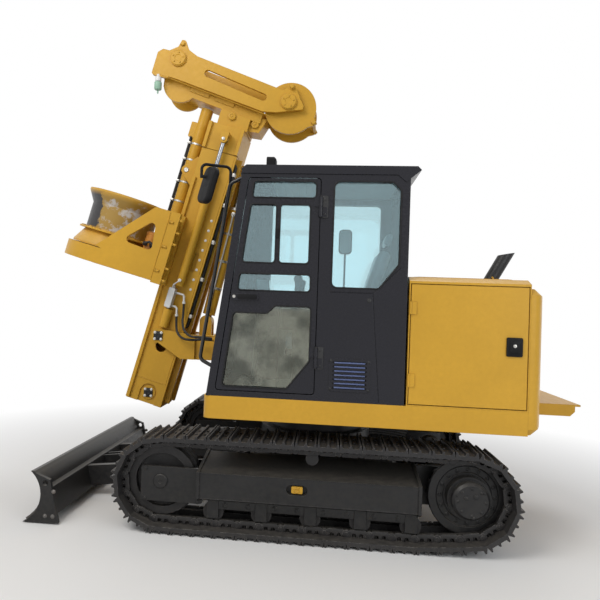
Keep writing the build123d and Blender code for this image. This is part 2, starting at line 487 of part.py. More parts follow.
# Track frames: side box, idler yoke, roller hangers, final drive plate and carrier post
axle_out = TRACK_CENTRE_Y + AXLE_HALF
axle_in = TRACK_CENTRE_Y - AXLE_HALF
frame_section = (
    (FRAME_IN, FRAME_LOW),
    (FRAME_OUT - FRAME_CHAMFER, FRAME_LOW),
    (FRAME_OUT, FRAME_SIDE_LOW),
    (FRAME_OUT, FRAME_SIDE_TOP),
    (FRAME_OUT - FRAME_CHAMFER, FRAME_SIDE_TOP + FRAME_CHAMFER / 4),
    (FRAME_IN, FRAME_TOP),
)
with BuildPart() as track_frames:
    with BuildSketch(facing(FRAME_REAR_X)):
        with BuildLine():
            Polyline(*frame_section, close=True)
        make_face()
    extrude(amount=FRAME_FRONT_X - FRAME_REAR_X)
    for x in (FRAME_REAR_X, FRAME_FRONT_X - END_RIB_T):
        with BuildSketch(facing(x)):
            with BuildLine():
                Polyline(*grown(frame_section, END_RIB_OUT), close=True)
            make_face()
        extrude(amount=END_RIB_T)
    with BuildSketch(side(FRAME_OUT)):
        with Locations((SLOT_X, SLOT_Z)):
            SlotOverall(SLOT_LONG, SLOT_HIGH)
    extrude(amount=SLOT_DEEP, mode=Mode.SUBTRACT)
    for top in (axle_out + YOKE_T, axle_in):
        with BuildSketch(side(top)):
            with Locations(((YOKE_BACK_X + IDLER_X + YOKE_REACH) / 2, IDLER_Z - YOKE_DROP)):
                RectangleRounded(IDLER_X + YOKE_REACH - YOKE_BACK_X, 2 * YOKE_HALF_H, YOKE_ROUND)
        extrude(amount=YOKE_T)
        for x in ROLLER_X:
            with BuildSketch(side(top)):
                with Locations((x, (HANGER_LOW + FRAME_LOW) / 2 + SHOE_GAP)):
                    Rectangle(2 * HANGER_HALF, FRAME_LOW - HANGER_LOW + 2 * SHOE_GAP)
            extrude(amount=YOKE_T)
    with BuildSketch(side(drive_seat)):
        with Locations((SPROCKET_X, SPROCKET_Z)):
            Circle(DRIVE_PLATE_R)
        with Locations(((SPROCKET_X + FRAME_REAR_X) / 2, (FRAME_LOW + FRAME_TOP) / 2)):
            Rectangle(FRAME_REAR_X - SPROCKET_X + 2 * SHOE_GAP, FRAME_TOP - FRAME_LOW)
    extrude(amount=DRIVE_PLATE_T)
    with BuildSketch(side(axle_in)):
        with Locations((CARRIER_X, (FRAME_SIDE_TOP + carrier_z) / 2)):
            Rectangle(2 * HANGER_HALF, carrier_z - FRAME_SIDE_TOP)
        with Locations((CARRIER_X, carrier_z)):
            Circle(HANGER_HALF)
    extrude(amount=YOKE_T)
    mirror(about=Plane.XZ)

# Centre frame with blade lugs and the dish under the slew bearing
with BuildPart() as car_body:
    with BuildSketch(level(CAR_LOW)):
        Rectangle(2 * CAR_HALF_X, 2 * FRAME_IN)
    extrude(amount=CAR_HIGH - CAR_LOW)
    with BuildSketch(level(CAR_HIGH)):
        Circle(DISH_R)
    extrude(amount=DISH_TOP - CAR_HIGH)
    arm_in = ARM_Y - ARM_HALF - ARM_GAP
    arm_out = ARM_Y + ARM_HALF + ARM_GAP
    lug_start = CAR_HALF_X - PIVOT_LUG_T
    for y in (arm_in, arm_out + PIVOT_LUG_T, -arm_out, -arm_in + PIVOT_LUG_T):
        with BuildSketch(side(y)):
            with Locations((BLADE_PIVOT_X, BLADE_PIVOT_Z)):
                Circle(ARM_R)
            with BuildLine():
                Polyline(
                    (BLADE_PIVOT_X, BLADE_PIVOT_Z - ARM_R),
                    (BLADE_PIVOT_X, BLADE_PIVOT_Z + ARM_R),
                    (lug_start, CAR_HIGH - PIVOT_LUG_T),
                    (lug_start, CAR_LOW + PIVOT_LUG_T / 2),
                    close=True,
                )
            make_face()
            with Locations((BLADE_PIVOT_X, BLADE_PIVOT_Z)):
                Circle(PIVOT_PIN_R + PIN_PLAY, mode=Mode.SUBTRACT)
        extrude(amount=PIVOT_LUG_T)
    cyl_in = CYL_EYE_HALF + CYL_LUG_GAP
    for y in (cyl_in + CYL_LUG_T, -cyl_in):
        with BuildSketch(side(y)):
            with Locations(BLADE_CYL_BASE):
                Circle(BLADE_EYE_R)
            with BuildLine():
                Polyline(
                    (BLADE_CYL_BASE[0], BLADE_CYL_BASE[1] - BLADE_EYE_R),
                    (BLADE_CYL_BASE[0], BLADE_CYL_BASE[1] + BLADE_EYE_R),
                    (lug_start, BLADE_CYL_BASE[1] + BLADE_EYE_R),
                    (lug_start, CAR_LOW + PIVOT_LUG_T),
                    close=True,
                )
            make_face()
        extrude(amount=CYL_LUG_T)
    with BuildSketch(side(cyl_in)):
        with Locations(BLADE_CYL_BASE):
            Circle(BLADE_CYL_PIN_R)
    extrude(amount=2 * cyl_in)

# Slew bearing ring
with BuildPart() as slew_bearing:
    with BuildSketch(level(DISH_TOP)):
        Circle(BEARING_R)
        Circle(BEARING_BORE, mode=Mode.SUBTRACT)
    extrude(amount=BELLY_BOTTOM - BEARING_GAP - DISH_TOP)

# Dozer blade with end plates, back beam and push arms
with BuildPart() as blade:
    with BuildSketch(side(BLADE_HALF)) as blade_end:
        with BuildLine():
            ThreePointArc(BLADE_TOP, BLADE_MID, BLADE_TIP)
            Polyline(BLADE_TIP, BLADE_HEEL, BLADE_TOP_BACK, BLADE_TOP)
        make_face()
        with Locations((TIE_HOLE_X, TIE_HOLE_Z)):
            Circle(TIE_HOLE_R, mode=Mode.SUBTRACT)
    extrude(amount=END_PLATE_T)
    mirror(about=Plane.XZ)
    with BuildSketch(side(BLADE_HALF)):
        with BuildLine():
            ThreePointArc(BLADE_TOP, BLADE_MID, BLADE_TIP)
            Line(BLADE_TIP, (BLADE_TIP[0] - 2 * BLADE_SKIN, BLADE_TIP[1]))
            ThreePointArc(
                (BLADE_TIP[0] - 2 * BLADE_SKIN, BLADE_TIP[1]),
                (BLADE_MID[0] - BLADE_SKIN, BLADE_MID[1]),
                (BLADE_TOP[0] - BLADE_SKIN, BLADE_TOP[1]),
            )
            Line((BLADE_TOP[0] - BLADE_SKIN, BLADE_TOP[1]), BLADE_TOP)
        make_face()
        with BuildLine():
            Polyline(
                (BLADE_MID[0] - BLADE_SKIN / 2, BLADE_BEAM_HIGH),
                (BLADE_TOP_BACK[0], BLADE_BEAM_HIGH),
                (BLADE_HEEL[0] + BLADE_SKIN, BLADE_BEAM_LOW),
                (BLADE_BEAM_FRONT, BLADE_BEAM_LOW),
                close=True,
            )
        make_face()
    extrude(amount=2 * BLADE_HALF)
    for y in (ARM_Y + ARM_HALF, -ARM_Y + ARM_HALF):
        with BuildSketch(side(y)):
            with Locations((BLADE_PIVOT_X, BLADE_PIVOT_Z)):
                Circle(ARM_R)
            with BuildLine():
                Polyline(
                    (BLADE_PIVOT_X, BLADE_PIVOT_Z + ARM_R),
                    (BLADE_PIVOT_X, BLADE_PIVOT_Z - ARM_R),
                    (BLADE_TOP_BACK[0], ARM_BLADE_LOW),
                    (BLADE_TOP_BACK[0], ARM_BLADE_HIGH),
                    close=True,
                )
            make_face()
        extrude(amount=2 * ARM_HALF)
        pin_end = ARM_HALF + ARM_GAP + PIVOT_LUG_T
        with BuildSketch(side(y - ARM_HALF)):
            with Locations((BLADE_PIVOT_X, BLADE_PIVOT_Z)):
                Circle(PIVOT_PIN_R)
        extrude(amount=pin_end, both=True)
    for y in (cyl_in + CYL_LUG_T, -cyl_in):
        with BuildSketch(side(y)):
            with Locations(BLADE_CYL_EYE):
                Circle(BLADE_EYE_R)
            with BuildLine():
                Polyline(
                    (BLADE_CYL_EYE[0], BLADE_CYL_EYE[1] + BLADE_EYE_R),
                    (BLADE_CYL_EYE[0], BLADE_CYL_EYE[1] - BLADE_EYE_R),
                    (BLADE_TOP_BACK[0], ARM_BLADE_LOW),
                    (BLADE_TOP_BACK[0], ARM_BLADE_HIGH),
                    close=True,
                )
            make_face()
            with Locations(BLADE_CYL_EYE):
                Circle(BLADE_CYL_PIN_R + BLADE_CYL_DRIFT + 1, mode=Mode.SUBTRACT)
        extrude(amount=CYL_LUG_T)

# Blade lift cylinder
blade_cyl_long = hypot(BLADE_CYL_EYE[0] - BLADE_CYL_BASE[0], BLADE_CYL_EYE[1] - BLADE_CYL_BASE[1])
with BuildPart() as blade_barrel:
    with BuildSketch(stroke_plane(BLADE_CYL_BASE, BLADE_CYL_EYE, BLADE_BARREL_START)):
        Circle(BLADE_BARREL_R)
    extrude(amount=BLADE_BARREL_LONG)
    with BuildSketch(stroke_plane(BLADE_CYL_BASE, BLADE_CYL_EYE, 0)):
        Circle(CYL_NECK_R)
    extrude(amount=BLADE_BARREL_START + 1)
    with BuildSketch(side(CYL_EYE_HALF)):
        with Locations(BLADE_CYL_BASE):
            Circle(BLADE_EYE_R)
    extrude(amount=2 * CYL_EYE_HALF)
    with BuildSketch(side(BLADE_BARREL_R)):
        with Locations(BLADE_CYL_BASE):
            Circle(BLADE_CYL_PIN_R + PIN_PLAY)
    extrude(amount=2 * BLADE_BARREL_R, mode=Mode.SUBTRACT)
    with BuildSketch(stroke_plane(BLADE_CYL_BASE, BLADE_CYL_EYE, BLADE_BORE_START)):
        Circle(BLADE_ROD_R + PIN_PLAY)
    extrude(amount=BLADE_BARREL_LONG, mode=Mode.SUBTRACT)

with BuildPart() as blade_rod:
    rod_start = BLADE_BORE_START + 0.28 * BLADE_BARREL_LONG
    with BuildSketch(stroke_plane(BLADE_CYL_BASE, BLADE_CYL_EYE, rod_start)):
        Circle(BLADE_ROD_R)
    extrude(amount=blade_cyl_long - rod_start)
    with BuildSketch(side(CYL_EYE_HALF)):
        with Locations(BLADE_CYL_EYE):
            Circle(BLADE_EYE_R)
    extrude(amount=2 * CYL_EYE_HALF)
    with BuildSketch(side(cyl_in + CYL_LUG_T)):
        with Locations(BLADE_CYL_EYE):
            Circle(BLADE_CYL_PIN_R)
    extrude(amount=2 * (cyl_in + CYL_LUG_T))

# Upper deck: a plate with deep skirts
with BuildPart() as deck_frame:
    with BuildSketch(level(DECK_LOW)):
        with Locations(((DECK_FRONT_X + DECK_REAR_X) / 2, 0)):
            Rectangle(DECK_FRONT_X - DECK_REAR_X, 2 * DECK_HALF)
    extrude(amount=DECK_TOP - DECK_LOW)
    fillet(deck_frame.edges().filter_by(Axis.Z).group_by(Axis.X)[-1], radius=DECK_CORNER)
    with BuildSketch(level(DECK_LOW)):
        with Locations(((DECK_FRONT_X + DECK_REAR_X) / 2, 0)):
            Rectangle(DECK_FRONT_X - DECK_REAR_X - 2 * DECK_SKIN - DECK_CORNER, 2 * DECK_HALF - 2 * DECK_SKIN)
    extrude(amount=DECK_TOP - DECK_LOW - DECK_SKIN, mode=Mode.SUBTRACT)

# Belly box between deck and slew bearing
with BuildPart() as belly_frame:
    with BuildSketch(level(BELLY_BOTTOM)):
        with Locations(((BELLY_FRONT_X + BELLY_REAR_X) / 2, 0)):
            RectangleRounded(BELLY_FRONT_X - BELLY_REAR_X, 2 * BELLY_HALF, DECK_CORNER)
    extrude(amount=DECK_TOP - DECK_SKIN - BELLY_BOTTOM)

# Counterweight with a bowed back
with BuildPart() as counterweight:
    with BuildSketch(level(WEIGHT_LOW)):
        with BuildLine():
            ThreePointArc((WEIGHT_SIDE_X, DECK_HALF), (WEIGHT_REAR_X, 0), (WEIGHT_SIDE_X, -DECK_HALF))
            Polyline(
                (WEIGHT_SIDE_X, -DECK_HALF),
                (DECK_REAR_X, -DECK_HALF),
                (DECK_REAR_X, DECK_HALF),
                (WEIGHT_SIDE_X, DECK_HALF),
            )
        make_face()
        rear_corners = [p for p in vertices() if p.X < DECK_REAR_X - 1]
        fillet(rear_corners, radius=WEIGHT_CORNER)
    extrude(amount=WEIGHT_TOP - WEIGHT_LOW)
    for end in (-1, 0):
        flat = counterweight.faces().sort_by(Axis.Z)[end]
        bowed = [e for e in flat.edges() if e.bounding_box().min.X < SLEW_X + DECK_REAR_X - 1]
        chamfer(bowed, length=WEIGHT_EDGE)
    grille_step = REAR_GRILLE_HIGH / REAR_GRILLE_SLATS
    with BuildSketch(facing(WEIGHT_REAR_X)):
        for k in range(REAR_GRILLE_SLATS):
            with Locations((0, REAR_GRILLE_Z + grille_step * (k - (REAR_GRILLE_SLATS - 1) / 2))):
                RectangleRounded(REAR_GRILLE_WIDE, grille_step / 2, grille_step / 5)
    extrude(amount=REAR_GRILLE_DEEP, mode=Mode.SUBTRACT)

# Tray behind the counterweight
with BuildPart() as rear_tray:
    with BuildSketch(side(TRAY_HALF)):
        with BuildLine():
            Polyline(
                (WEIGHT_SIDE_X, TRAY_TOP),
                (TRAY_REAR_X, TRAY_TOP),
                (TRAY_REAR_X, TRAY_TOP - TRAY_PLATE_T),
                (TRAY_REAR_X + TRAY_LIP, TRAY_TOP - TRAY_PLATE_T),
                (TRAY_REAR_X + TRAY_LIP, TRAY_LOW + TRAY_CUT),
                (TRAY_REAR_X + TRAY_LIP + TRAY_CUT, TRAY_LOW),
                (WEIGHT_SIDE_X, TRAY_LOW),
                close=True,
            )
        make_face()
    extrude(amount=2 * TRAY_HALF)
    with BuildSketch(level(TRAY_LOW)):
        with Locations(((TRAY_REAR_X + WEIGHT_SIDE_X + TRAY_LIP) / 2 + TRAY_SIDE_T, 0)):
            Rectangle(WEIGHT_SIDE_X - TRAY_REAR_X - TRAY_LIP, 2 * TRAY_HALF - 2 * TRAY_SIDE_T)
    extrude(amount=TRAY_TOP - TRAY_LOW - TRAY_PLATE_T, mode=Mode.SUBTRACT)
    with BuildSketch(level(TRAY_LOW)):
        with BuildLine():
            ThreePointArc((WEIGHT_SIDE_X, DECK_HALF), (WEIGHT_REAR_X, 0), (WEIGHT_SIDE_X, -DECK_HALF))
            Polyline(
                (WEIGHT_SIDE_X, -DECK_HALF),
                (0, -DECK_HALF),
                (0, DECK_HALF),
                (WEIGHT_SIDE_X, DECK_HALF),
            )
        make_face()
    extrude(amount=TRAY_TOP - TRAY_LOW, mode=Mode.SUBTRACT)

# Engine housing, open toward the deck and at its left door
hood_rear_x = DECK_REAR_X
door_front_x = HOOD_FRONT_X - HOOD_DOOR_MARGIN
door_rear_x = hood_rear_x + HOOD_DOOR_MARGIN
door_low_z = DECK_TOP + HOOD_DOOR_MARGIN
with BuildPart() as engine_housing:
    with BuildSketch(facing(hood_rear_x)):
        with BuildLine():
            Polyline(
                (-DECK_HALF, DECK_TOP),
                (DECK_HALF, DECK_TOP),
                (DECK_HALF, HOOD_SIDE_TOP),
                (DECK_HALF - HOOD_CHAMFER, HOOD_TOP),
                (HOOD_CHAMFER - DECK_HALF, HOOD_TOP),
                (-DECK_HALF, HOOD_SIDE_TOP),
                close=True,
            )
        make_face()
    extrude(amount=HOOD_FRONT_X - hood_rear_x)
    with BuildSketch(facing(hood_rear_x + HOOD_SKIN)):
        with BuildLine():
            Polyline(
                (HOOD_SKIN - DECK_HALF, DECK_TOP),
                (DECK_HALF - HOOD_SKIN, DECK_TOP),
                (DECK_HALF - HOOD_SKIN, HOOD_SIDE_TOP - HOOD_SKIN),
                (DECK_HALF - HOOD_CHAMFER - HOOD_SKIN, HOOD_TOP - HOOD_SKIN),
                (HOOD_CHAMFER + HOOD_SKIN - DECK_HALF, HOOD_TOP - HOOD_SKIN),
                (HOOD_SKIN - DECK_HALF, HOOD_SIDE_TOP - HOOD_SKIN),
                close=True,
            )
        make_face()
    extrude(amount=HOOD_FRONT_X - hood_rear_x - 2 * HOOD_SKIN, mode=Mode.SUBTRACT)
    with BuildSketch(side(DECK_HALF)):
        with Locations(((door_front_x + door_rear_x) / 2, (door_low_z + HOOD_DOOR_TOP) / 2)):
            Rectangle(door_front_x - door_rear_x + 2 * DOOR_GAP, HOOD_DOOR_TOP - door_low_z + 2 * DOOR_GAP)
    extrude(amount=HOOD_SKIN, mode=Mode.SUBTRACT)
    side_step = SIDE_GRILLE_H / SIDE_GRILLE_SLATS
    with BuildSketch(side(HOOD_SKIN - DECK_HALF)):
        for k in range(SIDE_GRILLE_SLATS):
            with Locations((SIDE_GRILLE_X, SIDE_GRILLE_Z + side_step * (k - (SIDE_GRILLE_SLATS - 1) / 2))):
                RectangleRounded(SIDE_GRILLE_W, side_step / 2, side_step / 5)
    extrude(amount=HOOD_SKIN, mode=Mode.SUBTRACT)

# Left engine door with its latch
with BuildPart() as hood_door:
    with BuildSketch(side(DECK_HALF)):
        with Locations(((door_front_x + door_rear_x) / 2, (door_low_z + HOOD_DOOR_TOP) / 2)):
            Rectangle(door_front_x - door_rear_x, HOOD_DOOR_TOP - door_low_z)
    extrude(amount=HOOD_SKIN)
    with BuildSketch(side(DECK_HALF + LATCH_PROUD)):
        with Locations((LATCH_X, LATCH_Z)):
            RectangleRounded(LATCH_W, LATCH_H, LATCH_PROUD)
            RectangleRounded(LATCH_W - 2 * LATCH_RIM, LATCH_H - 2 * LATCH_RIM, LATCH_PROUD, mode=Mode.SUBTRACT)
    extrude(amount=LATCH_PROUD + 1)
    with BuildSketch(side(DECK_HALF + LATCH_PROUD / 2)):
        with Locations((LATCH_X, LATCH_Z + LATCH_RIM)):
            Rectangle(LATCH_W / 2, LATCH_H / 2)
    extrude(amount=LATCH_PROUD / 2 + 1)
    hinge_x = door_front_x + DOOR_GAP / 2
    for z in (door_low_z + HOOD_HINGE_END, HOOD_DOOR_TOP - HOOD_HINGE_END - HOOD_HINGE_H):
        with BuildSketch(level(z)):
            with Locations((hinge_x, DECK_HALF + HOOD_HINGE_OUT)):
                Circle(HOOD_HINGE_R)
            with Locations((hinge_x - HOOD_HINGE_LEAF / 2, DECK_HALF + (HOOD_HINGE_OUT - 1) / 2)):
                Rectangle(HOOD_HINGE_LEAF, HOOD_HINGE_OUT + 1)
        extrude(amount=HOOD_HINGE_H)

# Engine block on the deck
with BuildPart() as engine:
    with BuildSketch(level(DECK_TOP)):
        with Locations((sum(ENGINE_BOX_X) / 2, 0)):
            Rectangle(ENGINE_BOX_X[1] - ENGINE_BOX_X[0], 2 * ENGINE_BOX_HALF)
    extrude(amount=ENGINE_BOX_TOP - DECK_TOP)

# Tank housing on the right
with BuildPart() as right_housing:
    with BuildSketch(facing(HOOD_FRONT_X)):
        with Locations(((TANK_LEFT_Y - DECK_HALF) / 2, (DECK_TOP + TANK_TOP) / 2)):
            Rectangle(DECK_HALF + TANK_LEFT_Y, TANK_TOP - DECK_TOP)
    extrude(amount=TANK_FRONT_X - HOOD_FRONT_X)
    fillet(right_housing.edges().filter_by(Axis.X).group_by(Axis.Z)[-1], radius=TANK_ROUND)
    fillet(right_housing.faces().sort_by(Axis.X)[-1].edges().group_by(Axis.Z)[-1], radius=TANK_ROUND / 2)
    with BuildSketch(facing(HOOD_FRONT_X + HOOD_SKIN)):
        with Locations(((TANK_LEFT_Y - DECK_HALF) / 2, (DECK_TOP + TANK_TOP) / 2 - HOOD_SKIN)):
            Rectangle(DECK_HALF + TANK_LEFT_Y - 2 * TANK_ROUND, TANK_TOP - DECK_TOP - HOOD_SKIN)
    extrude(amount=TANK_FRONT_X - HOOD_FRONT_X - HOOD_SKIN - TANK_ROUND, mode=Mode.SUBTRACT)

# Exhaust stack leaning back, cut slanting at its tip
exhaust_way = (EXHAUST_TIP_X - EXHAUST_BASE[0], EXHAUST_TIP_Z - HOOD_TOP)
exhaust_long = hypot(*exhaust_way)
exhaust_plane = Plane(
    (SLEW_X + EXHAUST_BASE[0], EXHAUST_BASE[1], HOOD_TOP),
    x_dir=(0, 1, 0),
    z_dir=(exhaust_way[0] / exhaust_long, 0, exhaust_way[1] / exhaust_long),
)
with BuildPart() as exhaust:
    with BuildSketch(exhaust_plane.offset(-EXHAUST_R)):
        Circle(EXHAUST_R)
    extrude(amount=exhaust_long + 2 * EXHAUST_R)
    with BuildSketch(level(HOOD_TOP)):
        with Locations(EXHAUST_BASE):
            Circle(EXHAUST_FLANGE_R)
    extrude(amount=EXHAUST_FLANGE_T)
    with BuildSketch(exhaust_plane.offset(-EXHAUST_R)):
        Circle(EXHAUST_R - EXHAUST_WALL)
    extrude(amount=exhaust_long + 3 * EXHAUST_R, mode=Mode.SUBTRACT)
    with BuildSketch(side(EXHAUST_BASE[1] + 2 * EXHAUST_R)):
        with BuildLine():
            Polyline(
                (EXHAUST_TIP_X - 3 * EXHAUST_R, EXHAUST_TIP_Z + EXHAUST_CUT / 2),
                (EXHAUST_TIP_X + 3 * EXHAUST_R, EXHAUST_TIP_Z - EXHAUST_CUT),
                (EXHAUST_TIP_X + 3 * EXHAUST_R, EXHAUST_TIP_Z + 4 * EXHAUST_R),
                (EXHAUST_TIP_X - 3 * EXHAUST_R, EXHAUST_TIP_Z + 4 * EXHAUST_R),
                close=True,
            )
        make_face()
        with Locations((EXHAUST_BASE[0], HOOD_TOP - EXHAUST_R)):
            Rectangle(6 * EXHAUST_R, 2 * EXHAUST_R)
    extrude(amount=4 * EXHAUST_R, mode=Mode.SUBTRACT)

# Cab panels
cab_inner = (CAB_RIGHT + CAB_WALL, CAB_LEFT - CAB_WALL)
cab_mid_y = (CAB_RIGHT + CAB_LEFT) / 2
cab_inner_wide = cab_inner[1] - cab_inner[0]
slant_run = hypot(SLANT_LOW[0] - SLANT_HIGH[0], SLANT_HIGH[1] - SLANT_LOW[1]) / (SLANT_HIGH[1] - SLANT_LOW[1])
front_depth = CAB_WALL * slant_run
cab_outline = (
    (slant_x(DECK_TOP), DECK_TOP),
    (slant_x(CAB_EAVES), CAB_EAVES),
    (CAB_REAR_X, CAB_EAVES),
    (CAB_REAR_X, DECK_TOP),
)
rear_window = (
    (REAR_WINDOW_FRONT, REAR_WINDOW_HIGH),
    (REAR_WINDOW_REAR + REAR_WINDOW_TOP_CUT, REAR_WINDOW_HIGH),
    (REAR_WINDOW_REAR, REAR_WINDOW_HIGH - REAR_WINDOW_TOP_CUT),
    (REAR_WINDOW_REAR, REAR_WINDOW_LOW + REAR_WINDOW_LOW_RISE),
    (REAR_WINDOW_REAR + REAR_WINDOW_LOW_CUT, REAR_WINDOW_LOW),
    (REAR_WINDOW_FRONT, REAR_WINDOW_LOW),
)
right_window = (
    (RIGHT_WINDOW_FRONT, RIGHT_WINDOW_HIGH),
    (RIGHT_WINDOW_REAR, RIGHT_WINDOW_HIGH),
    (RIGHT_WINDOW_REAR, RIGHT_WINDOW_LOW),
    (RIGHT_WINDOW_FRONT, RIGHT_WINDOW_LOW),
)


def door_shape(grow):
    low, high = DOOR_LOW - grow, DOOR_HIGH + grow
    return (
        (slant_x(low) - PILLAR + grow, low),
        (slant_x(high) - PILLAR + grow, high),
        (DOOR_REAR_X + DOOR_GAP - grow, high),
        (DOOR_REAR_X + DOOR_GAP - grow, low),
    )


def door_pane_x(z):
    return slant_x(z) - PILLAR - DOOR_FRAME


slider_split = (SLIDER_BAR_X + SLIDER_BAR_W / 2, SLIDER_BAR_X - SLIDER_BAR_W / 2)
door_panes = (
    (
        (door_pane_x(PANE_TOP_LOW), PANE_TOP_LOW),
        (door_pane_x(PANE_TOP_HIGH), PANE_TOP_HIGH),
        (PANE_TOP_REAR, PANE_TOP_HIGH),
        (PANE_TOP_REAR, PANE_TOP_LOW),
    ),
    (
        (door_pane_x(SLIDER_LOW), SLIDER_LOW),
        (door_pane_x(SLIDER_HIGH), SLIDER_HIGH),
        (slider_split[0], SLIDER_HIGH),
        (slider_split[0], SLIDER_LOW),
    ),
    (
        (slider_split[1], SLIDER_LOW),
        (slider_split[1], SLIDER_HIGH),
        (SLIDER_REAR, SLIDER_HIGH),
        (SLIDER_REAR, SLIDER_LOW),
    ),
    (
        (door_pane_x(DOOR_WAIST_HIGH), DOOR_WAIST_HIGH),
        (door_pane_x(PANE_LOW_HIGH), PANE_LOW_HIGH),
        (PANE_LOW_REAR, PANE_LOW_HIGH),
        (PANE_LOW_REAR, DOOR_WAIST_HIGH),
    ),
    (
        (door_pane_x(LOWER_LOW), LOWER_LOW),
        (door_pane_x(LOWER_HIGH), LOWER_HIGH),
        (LOWER_STEP_X + LOWER_STEP / 2, LOWER_HIGH),
        (LOWER_STEP_X - LOWER_STEP / 2, LOWER_HIGH + LOWER_STEP),
        (DOOR_REAR_X + DOOR_GAP + DOOR_FRAME, LOWER_HIGH + LOWER_STEP),
        (DOOR_REAR_X + DOOR_GAP + DOOR_FRAME, LOWER_CUT_Z),
        (LOWER_CUT_X, LOWER_LOW),
    ),
)

with BuildPart() as cab_left_panel:
    with BuildSketch(side(CAB_LEFT)):
        with BuildLine():
            Polyline(*cab_outline, close=True)
        make_face()
        for shape, rounding in ((door_shape(DOOR_GAP), PANE_ROUND), (rear_window, WINDOW_ROUND)):
            with BuildLine():
                FilletPolyline(*shape, radius=rounding, close=True)
            make_face(mode=Mode.SUBTRACT)
    extrude(amount=CAB_WALL)
    with BuildSketch(side(CAB_LEFT + VENT_PLATE_T)):
        with Locations((LOUVER_X, LOUVER_Z)):
            RectangleRounded(LOUVER_W + 2 * VENT_PLATE_MARGIN, LOUVER_H + VENT_PLATE_MARGIN, VENT_PLATE_MARGIN)
    extrude(amount=VENT_PLATE_T)
    slat = LOUVER_H / LOUVER_SLATS
    with BuildSketch(side(CAB_LEFT + VENT_PLATE_T)):
        for k in range(LOUVER_SLATS):
            with Locations((LOUVER_X, LOUVER_Z + slat * (k - (LOUVER_SLATS - 1) / 2))):
                RectangleRounded(LOUVER_W, slat / 2, slat / 5)
    extrude(amount=VENT_PLATE_T + CAB_WALL / 2, mode=Mode.SUBTRACT)
    with BuildSketch(side(CAB_LEFT)):
        for a, b in ((SEAM_FRONT, SEAM_TOP), (SEAM_TOP, SEAM_LOW), (SEAM_TOP, SEAM_REAR)):
            with Locations(((a[0] + b[0]) / 2, (a[1] + b[1]) / 2)):
                Rectangle(
                    hypot(b[0] - a[0], b[1] - a[1]),
                    SEAM_W,
                    rotation=atan2(b[1] - a[1], b[0] - a[0]) * 180 / pi,
                )
    extrude(amount=SEAM_D, mode=Mode.SUBTRACT)
    for z in HINGE_Z:
        with BuildSketch(level(z)):
            with Locations((DOOR_REAR_X, CAB_LEFT + HINGE_OUT)):
                Circle(HINGE_R)
            with Locations((DOOR_REAR_X - HINGE_LEAF / 2, CAB_LEFT + HINGE_LEAF_T / 2)):
                Rectangle(HINGE_LEAF, HINGE_LEAF_T)
        extrude(amount=HINGE_H)

with BuildPart() as cab_right_panel:
    with BuildSketch(side(CAB_RIGHT + CAB_WALL)):
        with BuildLine():
            Polyline(*cab_outline, close=True)
        make_face()
        with BuildLine():
            FilletPolyline(*right_window, radius=WINDOW_ROUND, close=True)
        make_face(mode=Mode.SUBTRACT)
    extrude(amount=CAB_WALL)

with BuildPart() as cab_front_frame:
    with BuildSketch(side(cab_inner[1])):
        with BuildLine():
            Polyline(
                (slant_x(DECK_TOP), DECK_TOP),
                (slant_x(CAB_EAVES), CAB_EAVES),
                (slant_x(CAB_EAVES) - front_depth, CAB_EAVES),
                (slant_x(DECK_TOP) - front_depth, DECK_TOP),
                close=True,
            )
        make_face()
    extrude(amount=cab_inner_wide)
    with BuildSketch(facing(SLANT_HIGH[0] - 2 * CAB_WALL)):
        with Locations((cab_mid_y, (WINDSCREEN_LOW + WINDSCREEN_HIGH) / 2)):
            Rectangle(cab_inner_wide - 2 * WINDSCREEN_EDGE, WINDSCREEN_HIGH - WINDSCREEN_LOW)
    extrude(amount=SLANT_LOW[0], mode=Mode.SUBTRACT)

with BuildPart() as cab_rear_panel:
    with BuildSketch(facing(CAB_REAR_X)):
        with Locations((cab_mid_y, (DECK_TOP + CAB_EAVES) / 2)):
            Rectangle(cab_inner_wide, CAB_EAVES - DECK_TOP)
        with Locations((cab_mid_y, (REAR_GLASS_LOW + REAR_GLASS_HIGH) / 2)):
            Rectangle(
                cab_inner_wide - 2 * WINDSCREEN_EDGE,
                REAR_GLASS_HIGH - REAR_GLASS_LOW,
                mode=Mode.SUBTRACT,
            )
    extrude(amount=CAB_WALL)

with BuildPart() as cab_roof:
    with BuildSketch(side(CAB_LEFT + ROOF_OVER)):
        with BuildLine():
            Polyline(
                (slant_x(CAB_EAVES), CAB_EAVES),
                (slant_x(ROOF_TOP) + ROOF_OVER, ROOF_TOP - ROOF_EDGE),
                (slant_x(ROOF_TOP) - ROOF_EDGE, ROOF_TOP),
                (ROOF_REAR_X + ROOF_EDGE, ROOF_TOP),
                (ROOF_REAR_X, ROOF_TOP - ROOF_EDGE),
                (CAB_REAR_X, CAB_EAVES),
                close=True,
            )
        make_face()
    extrude(amount=CAB_LEFT - CAB_RIGHT + 2 * ROOF_OVER)
    for y in (CAB_LEFT + ROOF_OVER, CAB_RIGHT):
        with BuildSketch(side(y)):
            with BuildLine():
                Polyline(
                    (BEAK_FRONT_X, ROOF_TOP - ROOF_EDGE),
                    (ROOF_REAR_X, ROOF_TOP - ROOF_EDGE),
                    BEAK_LOW,
                    close=True,
                )
            make_face()
        extrude(amount=ROOF_OVER)

